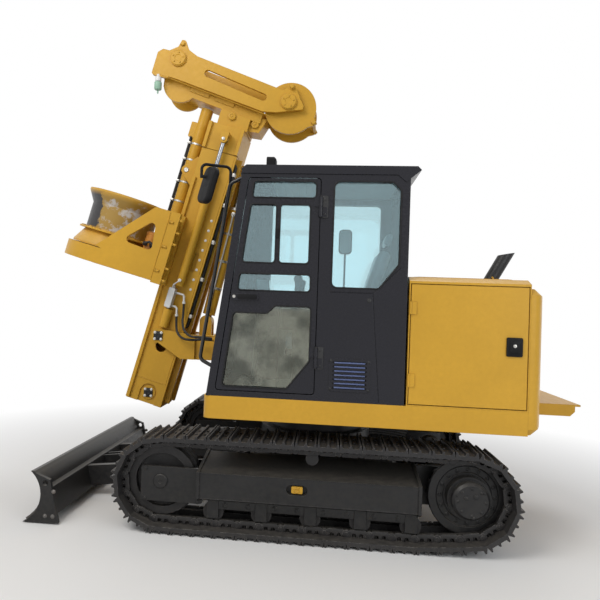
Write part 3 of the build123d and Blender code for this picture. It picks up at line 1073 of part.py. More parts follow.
# Work lamp on the roof
with BuildPart() as roof_lamp:
    with BuildSketch(level(ROOF_TOP)):
        with Locations((LAMP_X, LAMP_Y)):
            RectangleRounded(LAMP_LONG / 2, LAMP_W / 2, LAMP_LONG / 8)
    extrude(amount=LAMP_STEM + 1)
    with BuildSketch(facing(LAMP_X - LAMP_LONG / 2)):
        with Locations((LAMP_Y, ROOF_TOP + LAMP_STEM + LAMP_H / 2)):
            RectangleRounded(LAMP_W, LAMP_H, LAMP_H / 4)
    extrude(amount=LAMP_LONG)
    chamfer(roof_lamp.faces().sort_by(Axis.X)[0].edges(), length=LAMP_LONG / 5)

with BuildPart() as cab_floor:
    floor_front = slant_x(DECK_TOP + FLOOR_T) - front_depth
    with BuildSketch(level(DECK_TOP)):
        with Locations(((CAB_REAR_X + CAB_WALL + floor_front) / 2, cab_mid_y)):
            Rectangle(floor_front - CAB_REAR_X - CAB_WALL, cab_inner_wide)
    extrude(amount=FLOOR_T)

# Fixed panes, each filling its opening
pane_inset = (CAB_WALL - GLASS_T) / 2
with BuildPart() as cab_glazing:
    with BuildSketch(side(CAB_LEFT - pane_inset)):
        with BuildLine():
            FilletPolyline(*rear_window, radius=WINDOW_ROUND, close=True)
        make_face()
    extrude(amount=GLASS_T)
    with BuildSketch(side(CAB_RIGHT + CAB_WALL - pane_inset)):
        with BuildLine():
            FilletPolyline(*right_window, radius=WINDOW_ROUND, close=True)
        make_face()
    extrude(amount=GLASS_T)
    with BuildSketch(facing(CAB_REAR_X + pane_inset)):
        with Locations((cab_mid_y, (REAR_GLASS_LOW + REAR_GLASS_HIGH) / 2)):
            Rectangle(cab_inner_wide - 2 * WINDSCREEN_EDGE, REAR_GLASS_HIGH - REAR_GLASS_LOW)
    extrude(amount=GLASS_T)
    with BuildSketch(side(cab_inner[1] - WINDSCREEN_EDGE)):
        with BuildLine():
            Polyline(
                (slant_x(WINDSCREEN_LOW) - pane_inset * slant_run, WINDSCREEN_LOW),
                (slant_x(WINDSCREEN_HIGH) - pane_inset * slant_run, WINDSCREEN_HIGH),
                (slant_x(WINDSCREEN_HIGH) - (pane_inset + GLASS_T) * slant_run, WINDSCREEN_HIGH),
                (slant_x(WINDSCREEN_LOW) - (pane_inset + GLASS_T) * slant_run, WINDSCREEN_LOW),
                close=True,
            )
        make_face()
    extrude(amount=cab_inner_wide - 2 * WINDSCREEN_EDGE)

# Cab door with its sliding window, handle and panes
with BuildPart() as cab_door:
    with BuildSketch(side(CAB_LEFT)):
        with BuildLine():
            FilletPolyline(*door_shape(0), radius=PANE_ROUND - DOOR_GAP, close=True)
        make_face()
        for shape in door_panes:
            with BuildLine():
                FilletPolyline(*shape, radius=PANE_ROUND, close=True)
            make_face(mode=Mode.SUBTRACT)
    extrude(amount=CAB_WALL)
    with BuildSketch(side(CAB_LEFT + HANDLE_PROUD)):
        with Locations((HANDLE_X, HANDLE_Z)):
            RectangleRounded(HANDLE_LONG, HANDLE_HIGH, HANDLE_HIGH / 4)
    extrude(amount=HANDLE_PROUD + 1)
    for z in HINGE_Z:
        with BuildSketch(level(z + HINGE_H + 1)):
            with Locations((DOOR_REAR_X, CAB_LEFT + HINGE_OUT)):
                Circle(HINGE_R)
            with Locations((DOOR_REAR_X + HINGE_LEAF / 2, CAB_LEFT + HINGE_LEAF_T / 2)):
                Rectangle(HINGE_LEAF, HINGE_LEAF_T)
        extrude(amount=HINGE_H)

with BuildPart() as door_glazing:
    with BuildSketch(side(CAB_LEFT - pane_inset)):
        for shape in door_panes:
            with BuildLine():
                FilletPolyline(*shape, radius=PANE_ROUND, close=True)
            make_face()
    extrude(amount=GLASS_T)

# Operator's seat and control pods
floor_z = DECK_TOP + FLOOR_T
seat_rear_x = SEAT_X - SEAT_LONG / 2
back_run = BACK_LEAN * (SEAT_BACK_TOP - CUSHION_TOP)
head_run = BACK_LEAN * HEAD_HIGH
with BuildPart() as seat:
    with BuildSketch(level(floor_z)):
        with Locations((SEAT_X, SEAT_Y)):
            RectangleRounded(SEAT_LONG - 2 * BACK_T, SEAT_WIDE - BACK_T, SEAT_ROUND)
    extrude(amount=SEAT_BASE_TOP - floor_z)
    with BuildSketch(side(SEAT_Y + SEAT_WIDE / 2)):
        with BuildLine():
            FilletPolyline(
                (seat_rear_x - SEAT_ROUND, SEAT_BASE_TOP),
                (SEAT_X + SEAT_LONG / 2, SEAT_BASE_TOP),
                (SEAT_X + SEAT_LONG / 2 + SEAT_ROUND / 2, CUSHION_TOP),
                (seat_rear_x - SEAT_ROUND, CUSHION_TOP),
                radius=SEAT_ROUND,
                close=True,
            )
        make_face()
        with BuildLine():
            FilletPolyline(
                (seat_rear_x, CUSHION_TOP - SEAT_ROUND),
                (seat_rear_x - back_run, SEAT_BACK_TOP),
                (seat_rear_x - back_run - BACK_T, SEAT_BACK_TOP),
                (seat_rear_x - BACK_T, CUSHION_TOP - SEAT_ROUND),
                radius=SEAT_ROUND,
                close=True,
            )
        make_face()
    extrude(amount=SEAT_WIDE)
    with BuildSketch(side(SEAT_Y + HEAD_WIDE / 2)):
        with BuildLine():
            FilletPolyline(
                (seat_rear_x - back_run + SEAT_ROUND, SEAT_BACK_TOP - SEAT_ROUND),
                (seat_rear_x - back_run - head_run + SEAT_ROUND / 2, SEAT_BACK_TOP + HEAD_HIGH),
                (seat_rear_x - back_run - head_run - BACK_T / 2, SEAT_BACK_TOP + HEAD_HIGH),
                (seat_rear_x - back_run - BACK_T + SEAT_ROUND, SEAT_BACK_TOP - SEAT_ROUND),
                radius=SEAT_ROUND / 2,
                close=True,
            )
        make_face()
    extrude(amount=HEAD_WIDE)

pod_side = SEAT_WIDE / 2 + POD_WIDE / 2 + DOOR_GAP
with BuildPart() as console:
    for y in (SEAT_Y - pod_side, SEAT_Y + pod_side):
        with BuildSketch(level(floor_z)):
            with Locations((SEAT_X + POD_LONG / 4, y)):
                RectangleRounded(POD_LONG / 2, POD_WIDE, POD_WIDE / 5)
        extrude(amount=POD_TOP - floor_z)
        with BuildSketch(level(POD_TOP - POD_WIDE)):
            with Locations((SEAT_X + POD_LONG / 4, y)):
                RectangleRounded(POD_LONG, POD_WIDE, POD_WIDE / 5)
        extrude(amount=POD_WIDE)
        with BuildSketch(level(POD_TOP)):
            with Locations((SEAT_X + POD_LONG / 2.4, y)):
                Circle(POD_WIDE / 7)
        extrude(amount=POD_WIDE)
    with BuildSketch(level(floor_z)):
        with Locations((CONSOLE_X, cab_inner[0] + CONSOLE_WIDE / 2)):
            RectangleRounded(CONSOLE_LONG, CONSOLE_WIDE, CONSOLE_WIDE / 5)
    extrude(amount=CONSOLE_HIGH - floor_z)
    with BuildSketch(facing(CONSOLE_X)):
        with Locations((cab_inner[0] + SCREEN_W / 2 + DOOR_GAP, CONSOLE_HIGH + SCREEN_H / 2 - DOOR_GAP)):
            RectangleRounded(SCREEN_W, SCREEN_H, SCREEN_T / 3)
    extrude(amount=SCREEN_T)

# Grab rail in front of the cab, with the mirror on its own arm
with BuildPart() as grab_rail:
    with BuildLine():
        FilletPolyline(
            (SLEW_X + slant_x(RAIL_LOW), RAIL_Y, RAIL_LOW),
            (SLEW_X + slant_x(RAIL_LOW) + RAIL_REACH, RAIL_Y, RAIL_LOW + RAIL_REACH / 2),
            (SLEW_X + slant_x(RAIL_HIGH) + RAIL_REACH, RAIL_Y, RAIL_HIGH - RAIL_REACH / 2),
            (SLEW_X + slant_x(RAIL_HIGH), RAIL_Y, RAIL_HIGH),
            radius=0.4 * RAIL_REACH,
        )
    with BuildSketch(Plane((SLEW_X + slant_x(RAIL_LOW), RAIL_Y, RAIL_LOW), z_dir=(2, 0, 1))):
        Circle(RAIL_TUBE_R)
    sweep()
    with BuildSketch(side(RAIL_Y + 2 * RAIL_TUBE_R)):
        with BuildLine():
            Polyline(*cab_outline, close=True)
        make_face()
        with BuildLine():
            Polyline(
                (slant_x(CAB_EAVES), CAB_EAVES),
                (slant_x(ROOF_TOP) + ROOF_OVER, ROOF_TOP - ROOF_EDGE),
                (slant_x(ROOF_TOP) + ROOF_OVER, ROOF_TOP + 3 * RAIL_TUBE_R),
                (CAB_REAR_X, ROOF_TOP + 3 * RAIL_TUBE_R),
                (CAB_REAR_X, CAB_EAVES),
                close=True,
            )
        make_face()
    extrude(amount=4 * RAIL_TUBE_R, mode=Mode.SUBTRACT)

arm_foot_x = slant_x(RAIL_HIGH) + RAIL_REACH
mirror_up = (-sin(MIRROR_LEAN), 0, cos(MIRROR_LEAN))
mirror_out = (cos(MIRROR_YAW) * cos(MIRROR_LEAN), sin(MIRROR_YAW), cos(MIRROR_YAW) * sin(MIRROR_LEAN))
with BuildPart() as mirror_head:
    with BuildSketch(Plane((SLEW_X + MIRROR_X, MIRROR_Y, MIRROR_Z), x_dir=mirror_up, z_dir=mirror_out)):
        RectangleRounded(MIRROR_H, MIRROR_W, MIRROR_W / 3)
    extrude(amount=MIRROR_T / 2, both=True)
    fillet(mirror_head.edges(), radius=MIRROR_ROUND)
    with BuildLine():
        FilletPolyline(
            (SLEW_X + ARM_FRONT_X, MIRROR_Y, ARM_LOW),
            (SLEW_X + ARM_FRONT_X, MIRROR_Y, ARM_TOP),
            (SLEW_X + arm_foot_x, RAIL_Y, ARM_TOP),
            (SLEW_X + arm_foot_x, RAIL_Y, RAIL_HIGH - RAIL_REACH / 2),
            radius=ARM_BEND,
        )
    with BuildSketch(Plane((SLEW_X + ARM_FRONT_X, MIRROR_Y, ARM_LOW), z_dir=(0, 0, 1))):
        Circle(MIRROR_ARM_R)
    sweep()
    with BuildSketch(Plane((SLEW_X + ARM_FRONT_X, MIRROR_Y, ARM_LOW + MIRROR_ARM_R), z_dir=(-1, 0, 0))):
        Circle(MIRROR_ARM_R)
    extrude(amount=ARM_FRONT_X - MIRROR_X)
    add(grab_rail.part, mode=Mode.SUBTRACT)

# Ways of the two hoses from the elbows on the mast to the manifold on the bracket
hose_y = MAST_HALF + VALVE_T / 2
low_elbow = mast_point(LOW_ELBOW_V, LOW_PORT_U)
high_elbow = mast_point(HIGH_ELBOW_V, HIGH_PORT_U)
low_route = route((SLEW_X + low_elbow[0], hose_y, low_elbow[1] - LOW_ELBOW_DROP), LOW_RUNS)
high_route = route((SLEW_X + high_elbow[0], hose_y, high_elbow[1] - HIGH_ELBOW_DROP), HIGH_RUNS)
manifold_front = min(low_route[-1][0], high_route[-1][0]) - SLEW_X - NIPPLE_LONG / 2
manifold_z = (low_route[-1][2] + high_route[-1][2]) / 2
manifold_left = max(low_route[-1][1], high_route[-1][1]) + MANIFOLD_MARGIN

# Mast bracket: column and beam on the deck, two cheeks that carry the tilt pin
with BuildPart() as mast_bracket:
    with BuildSketch(side(COLUMN_HALF)):
        with BuildLine():
            Polyline(
                (COLUMN_BACK_X, DECK_TOP),
                (DECK_FRONT_X, DECK_TOP),
                (BEAM_BACK_X + COLUMN_HALF / 2, BEAM_LOW),
                (BEAM_BACK_X + COLUMN_HALF / 2, BEAM_HIGH),
                (BEAM_BACK_X, BEAM_HIGH),
                (COLUMN_BACK_X, COLUMN_TOP_BACK),
                close=True,
            )
        make_face()
    extrude(amount=2 * COLUMN_HALF)
    cheek_out = CHEEK_IN + CHEEK_T
    with BuildSketch(side(CHEEK_IN)):
        with Locations(((BEAM_BACK_X + BEAM_FRONT_X) / 2, (BEAM_LOW + BEAM_HIGH) / 2)):
            Rectangle(BEAM_FRONT_X - BEAM_BACK_X, BEAM_HIGH - BEAM_LOW)
    extrude(amount=2 * CHEEK_IN)
    for y in (cheek_out, -CHEEK_IN):
        with BuildSketch(side(y)):
            with Locations((PIVOT_X, PIVOT_Z)):
                Circle(CHEEK_R)
            with BuildLine():
                Polyline(
                    (PIVOT_X, PIVOT_Z + CHEEK_R),
                    (BEAM_FRONT_X - CHEEK_R, BEAM_HIGH),
                    (BEAM_FRONT_X - CHEEK_R, BEAM_LOW),
                    (BEAM_FRONT_X + CHEEK_R, BEAM_LOW),
                    (PIVOT_X, PIVOT_Z - CHEEK_R),
                    close=True,
                )
            make_face()
            with Locations((PIVOT_X, PIVOT_Z)):
                Circle(TILT_PIN_R + PIN_PLAY, mode=Mode.SUBTRACT)
        extrude(amount=CHEEK_T)
    for y in (cyl_in + CYL_LUG_T, -cyl_in):
        with BuildSketch(side(y)):
            with Locations(TILT_BASE):
                Circle(TILT_EYE_R)
            with BuildLine():
                Polyline(
                    (TILT_BASE[0] - TILT_EYE_R, TILT_BASE[1]),
                    (TILT_BASE[0] - TILT_EYE_R, BEAM_HIGH),
                    (TILT_BASE[0] + TILT_EYE_R, BEAM_HIGH),
                    (TILT_BASE[0] + TILT_EYE_R, TILT_BASE[1]),
                    close=True,
                )
            make_face()
        extrude(amount=CYL_LUG_T)
    with BuildSketch(side(cyl_in)):
        with Locations(TILT_BASE):
            Circle(TILT_CYL_PIN_R)
    extrude(amount=2 * cyl_in)
    with BuildSketch(side(manifold_left)):
        with Locations((manifold_front - MANIFOLD_LONG / 2, manifold_z)):
            RectangleRounded(MANIFOLD_LONG, MANIFOLD_HIGH, COLLAR_R / 2)
    extrude(amount=manifold_left - CHEEK_IN + 1)
    for points, runs in ((low_route, LOW_RUNS), (high_route, HIGH_RUNS)):
        with BuildSketch(Plane(points[-1], z_dir=runs[-1])):
            Circle(COLLAR_R)
        extrude(amount=NIPPLE_LONG)

# Lower mast: box beam with guide rails, tilt pin, foot pin and the lugs of the tilt cylinder
mast_mid = (MAST_REAR + MAST_FRONT) / 2
mast_deep = MAST_FRONT - MAST_REAR
tilt_eye = mast_point(TILT_EYE_V, TILT_EYE_U)
with BuildPart() as mast_lower:
    with BuildSketch(mast_level(MAST_LOW)):
        with Locations((mast_mid, 0)):
            Rectangle(mast_deep, 2 * MAST_HALF)
            Rectangle(mast_deep - 2 * MAST_WALL, 2 * MAST_HALF - 2 * MAST_WALL, mode=Mode.SUBTRACT)
    extrude(amount=MAST_SEAM - MAST_LOW)
    with BuildSketch(mast_level(GUIDE_LOW)):
        for y in (1, -1):
            with Locations(((GUIDE_BACK + MAST_FRONT) / 2, y * (MAST_HALF + GUIDE_OUT - 1) / 2)):
                Rectangle(MAST_FRONT - GUIDE_BACK, GUIDE_OUT - MAST_HALF + 1)
    extrude(amount=GUIDE_TOP - GUIDE_LOW)
    with BuildSketch(mast_level(REAR_RAIL_LOW)):
        for y in (1, -1):
            with Locations((MAST_REAR + (1 - REAR_RAIL_PROUD) / 2, y * (REAR_RAIL_IN + REAR_RAIL_OUT) / 2)):
                Rectangle(REAR_RAIL_PROUD + 1, REAR_RAIL_OUT - REAR_RAIL_IN)
    extrude(amount=MAST_SEAM - REAR_RAIL_CLEAR - REAR_RAIL_LOW)
    for y in (MAST_HALF - 1, FOOT_PLATE_T - MAST_HALF):
        with BuildSketch(mast_side(y)):
            with Locations((mast_mid, (MAST_LOW + FOOT_PLATE_TOP) / 2)):
                Rectangle(mast_deep - 2 * MAST_WALL, FOOT_PLATE_TOP - MAST_LOW)
        extrude(amount=FOOT_PLATE_T - 1)
    for y in (MAST_HALF, ARCH_DEEP - MAST_HALF):
        with BuildSketch(mast_side(y)):
            with Locations((FOOT_PIN_V, FOOT_PIN_U)):
                Circle(ARCH_R)
            with Locations((FOOT_PIN_V, (MAST_LOW + FOOT_PIN_U) / 2)):
                Rectangle(2 * ARCH_R, FOOT_PIN_U - MAST_LOW)
        extrude(amount=ARCH_DEEP, mode=Mode.SUBTRACT)
    with BuildSketch(mast_side(MAST_HALF)):
        with Locations((MOON_V, MOON_U)):
            Circle(MOON_R)
        with Locations((FLANK_SLOT_V, FLANK_SLOT_U)):
            SlotOverall(FLANK_SLOT_LONG, FLANK_SLOT_W, rotation=90)
    extrude(amount=2 * MAST_HALF, mode=Mode.SUBTRACT)
    with BuildSketch(mast_level(ANCHOR_LOW)):
        with Locations((ANCHOR_V, MAST_HALF + ANCHOR_R - 1)):
            Circle(ANCHOR_R)
    extrude(amount=ANCHOR_HIGH - ANCHOR_LOW)
    pad_t = MAST_SLIDE_GAP - SEAT
    with BuildSketch(mast_level(MAST_SEAM - PAD_LONG)):
        for v in (MAST_REAR + MAST_WALL + pad_t / 2, MAST_FRONT - MAST_WALL - pad_t / 2):
            with Locations((v, PAD_WIDE), (v, -PAD_WIDE)):
                Rectangle(pad_t, PAD_WIDE)
        for y in (1, -1):
            with Locations((mast_mid, y * (MAST_HALF - MAST_WALL - pad_t / 2))):
                Rectangle(PAD_WIDE, pad_t)
    extrude(amount=PAD_LONG)
    with BuildSketch(mast_side(CHEEK_IN - PIN_PLAY)):
        Circle(TILT_BOSS_R)
    extrude(amount=2 * (CHEEK_IN - PIN_PLAY))
    with BuildSketch(mast_side(cheek_out)):
        Circle(TILT_PIN_R)
    extrude(amount=2 * cheek_out)
    with BuildSketch(mast_side(MAST_HALF)):
        with Locations((FOOT_PIN_V, FOOT_PIN_U)):
            Circle(FOOT_PIN_R)
    extrude(amount=2 * MAST_HALF)
    arch_floor = MAST_HALF - ARCH_DEEP
    for y in (arch_floor + FOOT_CAP_T, -arch_floor):
        with BuildSketch(mast_side(y)):
            with Locations((FOOT_PIN_V, FOOT_PIN_U)):
                Circle(FOOT_CAP_R)
        extrude(amount=FOOT_CAP_T)
    for y in (cyl_in + CYL_LUG_T, -cyl_in):
        with BuildSketch(mast_side(y)):
            with Locations((TILT_EYE_V, TILT_EYE_U)):
                Circle(TILT_EYE_R)
            with BuildLine():
                Polyline(
                    (TILT_EYE_V, TILT_EYE_U + TILT_EYE_R),
                    (TILT_EYE_V, TILT_EYE_U - TILT_EYE_R),
                    (MAST_REAR + 1, TILT_EYE_U - 2 * TILT_EYE_R),
                    (MAST_REAR + 1, TILT_EYE_U + TILT_EYE_R),
                    close=True,
                )
            make_face()
            with Locations((TILT_EYE_V, TILT_EYE_U)):
                Circle(TILT_CYL_PIN_R + TILT_DRIFT + 1, mode=Mode.SUBTRACT)
        extrude(amount=CYL_LUG_T)
    block_out = TRUNNION_BLOCK_Y + TRUNNION_BLOCK_T
    for y in (block_out, -TRUNNION_BLOCK_Y):
        with BuildSketch(mast_side(y)):
            with BuildLine():
                Polyline(
                    (MAST_FRONT - 1, FEED_TRUNNION_U + TRUNNION_TOP),
                    (MAST_FRONT + TRUNNION_SHELF, FEED_TRUNNION_U + TRUNNION_TOP),
                    (FEED_V + 0.8 * TRUNNION_BLOCK_R, FEED_TRUNNION_U + 0.6 * TRUNNION_BLOCK_R),
                    (FEED_V + 0.8 * TRUNNION_BLOCK_R, FEED_TRUNNION_U - 0.6 * TRUNNION_BLOCK_R),
                    (MAST_FRONT - 1, FEED_TRUNNION_U - TRUNNION_FOOT),
                    close=True,
                )
            make_face()
            with Locations((FEED_V, FEED_TRUNNION_U)):
                Circle(TRUNNION_BLOCK_R)
                Circle(FEED_TRUNNION_R, mode=Mode.SUBTRACT)
        extrude(amount=TRUNNION_BLOCK_T)

# Feed cylinder in front of the mast, hung in its trunnion
with BuildPart() as feed_barrel:
    with BuildSketch(mast_level(FEED_LOW)):
        with Locations((FEED_V, 0)):
            Circle(FEED_BARREL_R)
    extrude(amount=FEED_TOP - FEED_LOW)
    with BuildSketch(mast_side(FEED_PORT_HALF)):
        with Locations((FEED_V + (FEED_BARREL_R + FEED_PORT_OUT) / 2, (FEED_PORT_LOW + FEED_PORT_HIGH) / 2)):
            RectangleRounded(FEED_BARREL_R + FEED_PORT_OUT, FEED_PORT_HIGH - FEED_PORT_LOW, FEED_PORT_OUT / 4)
    extrude(amount=2 * FEED_PORT_HALF)
    with BuildSketch(mast_side(block_out)):
        with Locations((FEED_V, FEED_TRUNNION_U)):
            Circle(FEED_TRUNNION_R)
    extrude(amount=2 * block_out)
    with BuildSketch(mast_level(FEED_LOW)):
        with Locations((FEED_V, 0)):
            Circle(FEED_BORE_R + PIN_PLAY)
    extrude(amount=FEED_TOP - FEED_LOW - FEED_BARREL_R, mode=Mode.SUBTRACT)

with BuildPart() as feed_rod:
    with BuildSketch(mast_level(LUG_U)):
        with Locations((FEED_V, 0)):
            Circle(FEED_ROD_R)
    extrude(amount=FEED_ROD_TOP - LUG_U)

# Mast extension cylinder on the left flank
with BuildPart() as extension_barrel:
    with BuildSketch(mast_level(EXT_LOW)):
        with Locations((EXT_V, EXT_Y)):
            Circle(EXT_BARREL_R)
    extrude(amount=EXT_TOP - EXT_LOW)
    for u in EXT_CLAMP_U:
        with BuildSketch(mast_level(u)):
            with Locations((EXT_V, (MAST_HALF + EXT_Y) / 2)):
                Rectangle(1.6 * EXT_BARREL_R, EXT_Y - MAST_HALF)
        extrude(amount=EXT_CLAMP_H)
    with BuildSketch(mast_level(EXT_ROD_LOW - EXT_ROD_R)):
        with Locations((EXT_V, EXT_Y)):
            Circle(EXT_ROD_R + PIN_PLAY)
    extrude(amount=EXT_TOP - EXT_ROD_LOW + EXT_ROD_R, mode=Mode.SUBTRACT)

with BuildPart() as extension_rod:
    with BuildSketch(mast_level(EXT_ROD_LOW)):
        with Locations((EXT_V, EXT_Y)):
            Circle(EXT_ROD_R)
    extrude(amount=EXT_EYE_U - EXT_ROD_LOW)
    with BuildSketch(mast_side(EXT_Y + EXT_EYE_HALF)):
        with Locations((EXT_V, EXT_EYE_U)):
            Circle(EXT_EYE_R)
    extrude(amount=2 * EXT_EYE_HALF)
    with BuildSketch(mast_side(EXT_Y + 2 * EXT_EYE_HALF)):
        with Locations((EXT_V, EXT_EYE_U)):
            Circle(EXT_PIN_R)
    extrude(amount=4 * EXT_EYE_HALF, mode=Mode.SUBTRACT)

# Valve block below the extension cylinder
with BuildPart() as valve_block:
    with BuildSketch(mast_side(MAST_HALF + VALVE_T)):
        with Locations((VALVE_V, (VALVE_LOW + VALVE_HIGH) / 2)):
            RectangleRounded(VALVE_W, VALVE_HIGH - VALVE_LOW, ELBOW_R)
    extrude(amount=VALVE_T)
    for port_u, elbow, drop in (
        (LOW_PORT_U, low_elbow, LOW_ELBOW_DROP),
        (HIGH_PORT_U, high_elbow, HIGH_ELBOW_DROP),
    ):
        port = mast_point(VALVE_V - VALVE_W / 2 + 1, port_u)
        with BuildLine():
            FilletPolyline(
                (SLEW_X + port[0], hose_y, port[1]),
                (SLEW_X + elbow[0], hose_y, elbow[1]),
                (SLEW_X + elbow[0], hose_y, elbow[1] - drop),
                radius=ELBOW_BEND,
            )
        with BuildSketch(Plane((SLEW_X + port[0], hose_y, port[1]), z_dir=(-cos(LEAN), 0, -sin(LEAN)))):
            Circle(ELBOW_R)
        sweep()
        with BuildSketch(Plane((SLEW_X + elbow[0], hose_y, elbow[1] - drop), z_dir=(0, 0, 1))):
            Circle(COLLAR_R)
        extrude(amount=COLLAR_LONG)

# Upper mast: inner box that slides in the lower one, its head and the neck under the crown
neck_line = CROWN_EDGE - UNDER_DEEP
with BuildPart() as mast_upper:
    inner_deep = mast_deep - 2 * MAST_WALL - 2 * MAST_SLIDE_GAP
    inner_wide = 2 * (MAST_HALF - MAST_WALL - MAST_SLIDE_GAP)
    with BuildSketch(mast_level(INNER_LOW)):
        with Locations((mast_mid, 0)):
            Rectangle(inner_deep, inner_wide)
            Rectangle(inner_deep - 2 * INNER_WALL, inner_wide - 2 * INNER_WALL, mode=Mode.SUBTRACT)
    extrude(amount=MAST_SEAM + MAST_SLIDE_GAP + 1 - INNER_LOW)
    with BuildSketch(mast_level(MAST_SEAM + MAST_SLIDE_GAP)):
        with Locations((mast_mid, 0)):
            Rectangle(mast_deep, 2 * MAST_HALF)
        for y in (1, -1):
            with Locations((MAST_FRONT - HEAD_FLANGE_DEEP / 2, y * MAST_HALF)):
                Rectangle(HEAD_FLANGE_DEEP, 2 * HEAD_FLANGE_OUT)
            with Locations((MAST_REAR + HEAD_FLANGE_DEEP / 2, y * MAST_HALF)):
                Rectangle(HEAD_FLANGE_DEEP, 2 * HEAD_REAR_OUT)
    extrude(amount=MAST_HEAD_TOP - MAST_SEAM - MAST_SLIDE_GAP)
    with BuildSketch(mast_side(NECK_HALF + NECK_PIN_PROUD)):
        with Locations(NECK_PIN):
            Circle(NECK_PIN_R)
    extrude(amount=2 * (NECK_HALF + NECK_PIN_PROUD))
    with BuildSketch(mast_side(NECK_HALF)):
        with BuildLine():
            Polyline(
                (NECK_REAR, MAST_HEAD_TOP - 1),
                (NECK_FRONT, MAST_HEAD_TOP - 1),
                (NECK_FRONT, neck_line + CROWN_RISE * NECK_FRONT),
                (NECK_REAR, neck_line + CROWN_RISE * NECK_REAR),
                close=True,
            )
        make_face()
    extrude(amount=2 * NECK_HALF)
    lug_in = EXT_Y - EXT_EYE_HALF
    lug_out = EXT_Y + EXT_EYE_HALF
    with BuildSketch(mast_side(lug_out + EXT_LUG_T)):
        with Locations((EXT_V, EXT_EYE_U)):
            Circle(EXT_EYE_R)
        with Locations((EXT_V, EXT_EYE_U + EXT_EYE_R)):
            Rectangle(2 * EXT_EYE_R, 2 * EXT_EYE_R)
    extrude(amount=EXT_LUG_T)
    with BuildSketch(mast_side(lug_in)):
        with Locations((EXT_V, EXT_EYE_U)):
            Circle(EXT_EYE_R)
        with Locations((EXT_V, EXT_EYE_U + EXT_EYE_R)):
            Rectangle(2 * EXT_EYE_R, 2 * EXT_EYE_R)
    extrude(amount=lug_in - MAST_HALF + 1)
    with BuildSketch(mast_side(lug_out + EXT_LUG_T)):
        with Locations((EXT_V, EXT_EYE_U + 1.6 * EXT_EYE_R)):
            Rectangle(2 * EXT_EYE_R, 0.8 * EXT_EYE_R)
    extrude(amount=lug_out + EXT_LUG_T - MAST_HALF + 1)
    with BuildSketch(mast_side(lug_out + EXT_LUG_T)):
        with Locations((EXT_V, EXT_EYE_U)):
            Circle(EXT_PIN_R)
    extrude(amount=lug_out + EXT_LUG_T - lug_in)

# Crown: two slotted side plates on an under-beam, with axles, guards and tie pins
def crown_edge(v):
    return CROWN_EDGE + CROWN_RISE * v


slot_rise = CROWN_SLOT_FRONT[1] - CROWN_SLOT_REAR[1]
slot_run = CROWN_SLOT_FRONT[0] - CROWN_SLOT_REAR[0]
slot_mid = ((CROWN_SLOT_FRONT[0] + CROWN_SLOT_REAR[0]) / 2, (CROWN_SLOT_FRONT[1] + CROWN_SLOT_REAR[1]) / 2)
crown_plate = (
    (CROWN_NOSE_V, CROWN_NOSE_LOW),
    (CROWN_NOSE_V, CROWN_NOSE_TOP - CROWN_NOSE_CUT),
    (CROWN_NOSE_V - CROWN_NOSE_CUT, CROWN_NOSE_TOP),
    (FRONT_TIE[0] + 3 * CROWN_LUG, CROWN_NOSE_TOP),
    (FRONT_TIE[0] + CROWN_LUG, FRONT_TIE[1] - CROWN_LUG),
    (FRONT_TIE[0] + CROWN_LUG / 2, FRONT_TIE[1] + CROWN_LUG),
    (FRONT_TIE[0] - CROWN_LUG / 2, FRONT_TIE[1] + CROWN_LUG),
    (FRONT_TIE[0] - 2 * CROWN_LUG, FRONT_TIE[1] - CROWN_LUG_DROP / 2),
    CROWN_BACK_FRONT,
    CROWN_BACK_REAR,
    (TOP_TIE[0] + CROWN_LUG, TOP_TIE[1]),
    (TOP_TIE[0] + CROWN_LUG / 2, TOP_TIE[1] + 0.7 * CROWN_LUG),
    (TOP_TIE[0] - CROWN_LUG / 2, TOP_TIE[1] + 0.7 * CROWN_LUG),
    (CROWN_TAIL_V, CROWN_TAIL_TOP),
    (CROWN_TAIL_V, CROWN_TAIL_LOW),
    (CROWN_TAIL_FOOT, crown_edge(CROWN_TAIL_FOOT) + CROWN_LUG),
    (UNDER_REAR, crown_edge(UNDER_REAR)),
    (UNDER_FRONT, crown_edge(UNDER_FRONT)),
)
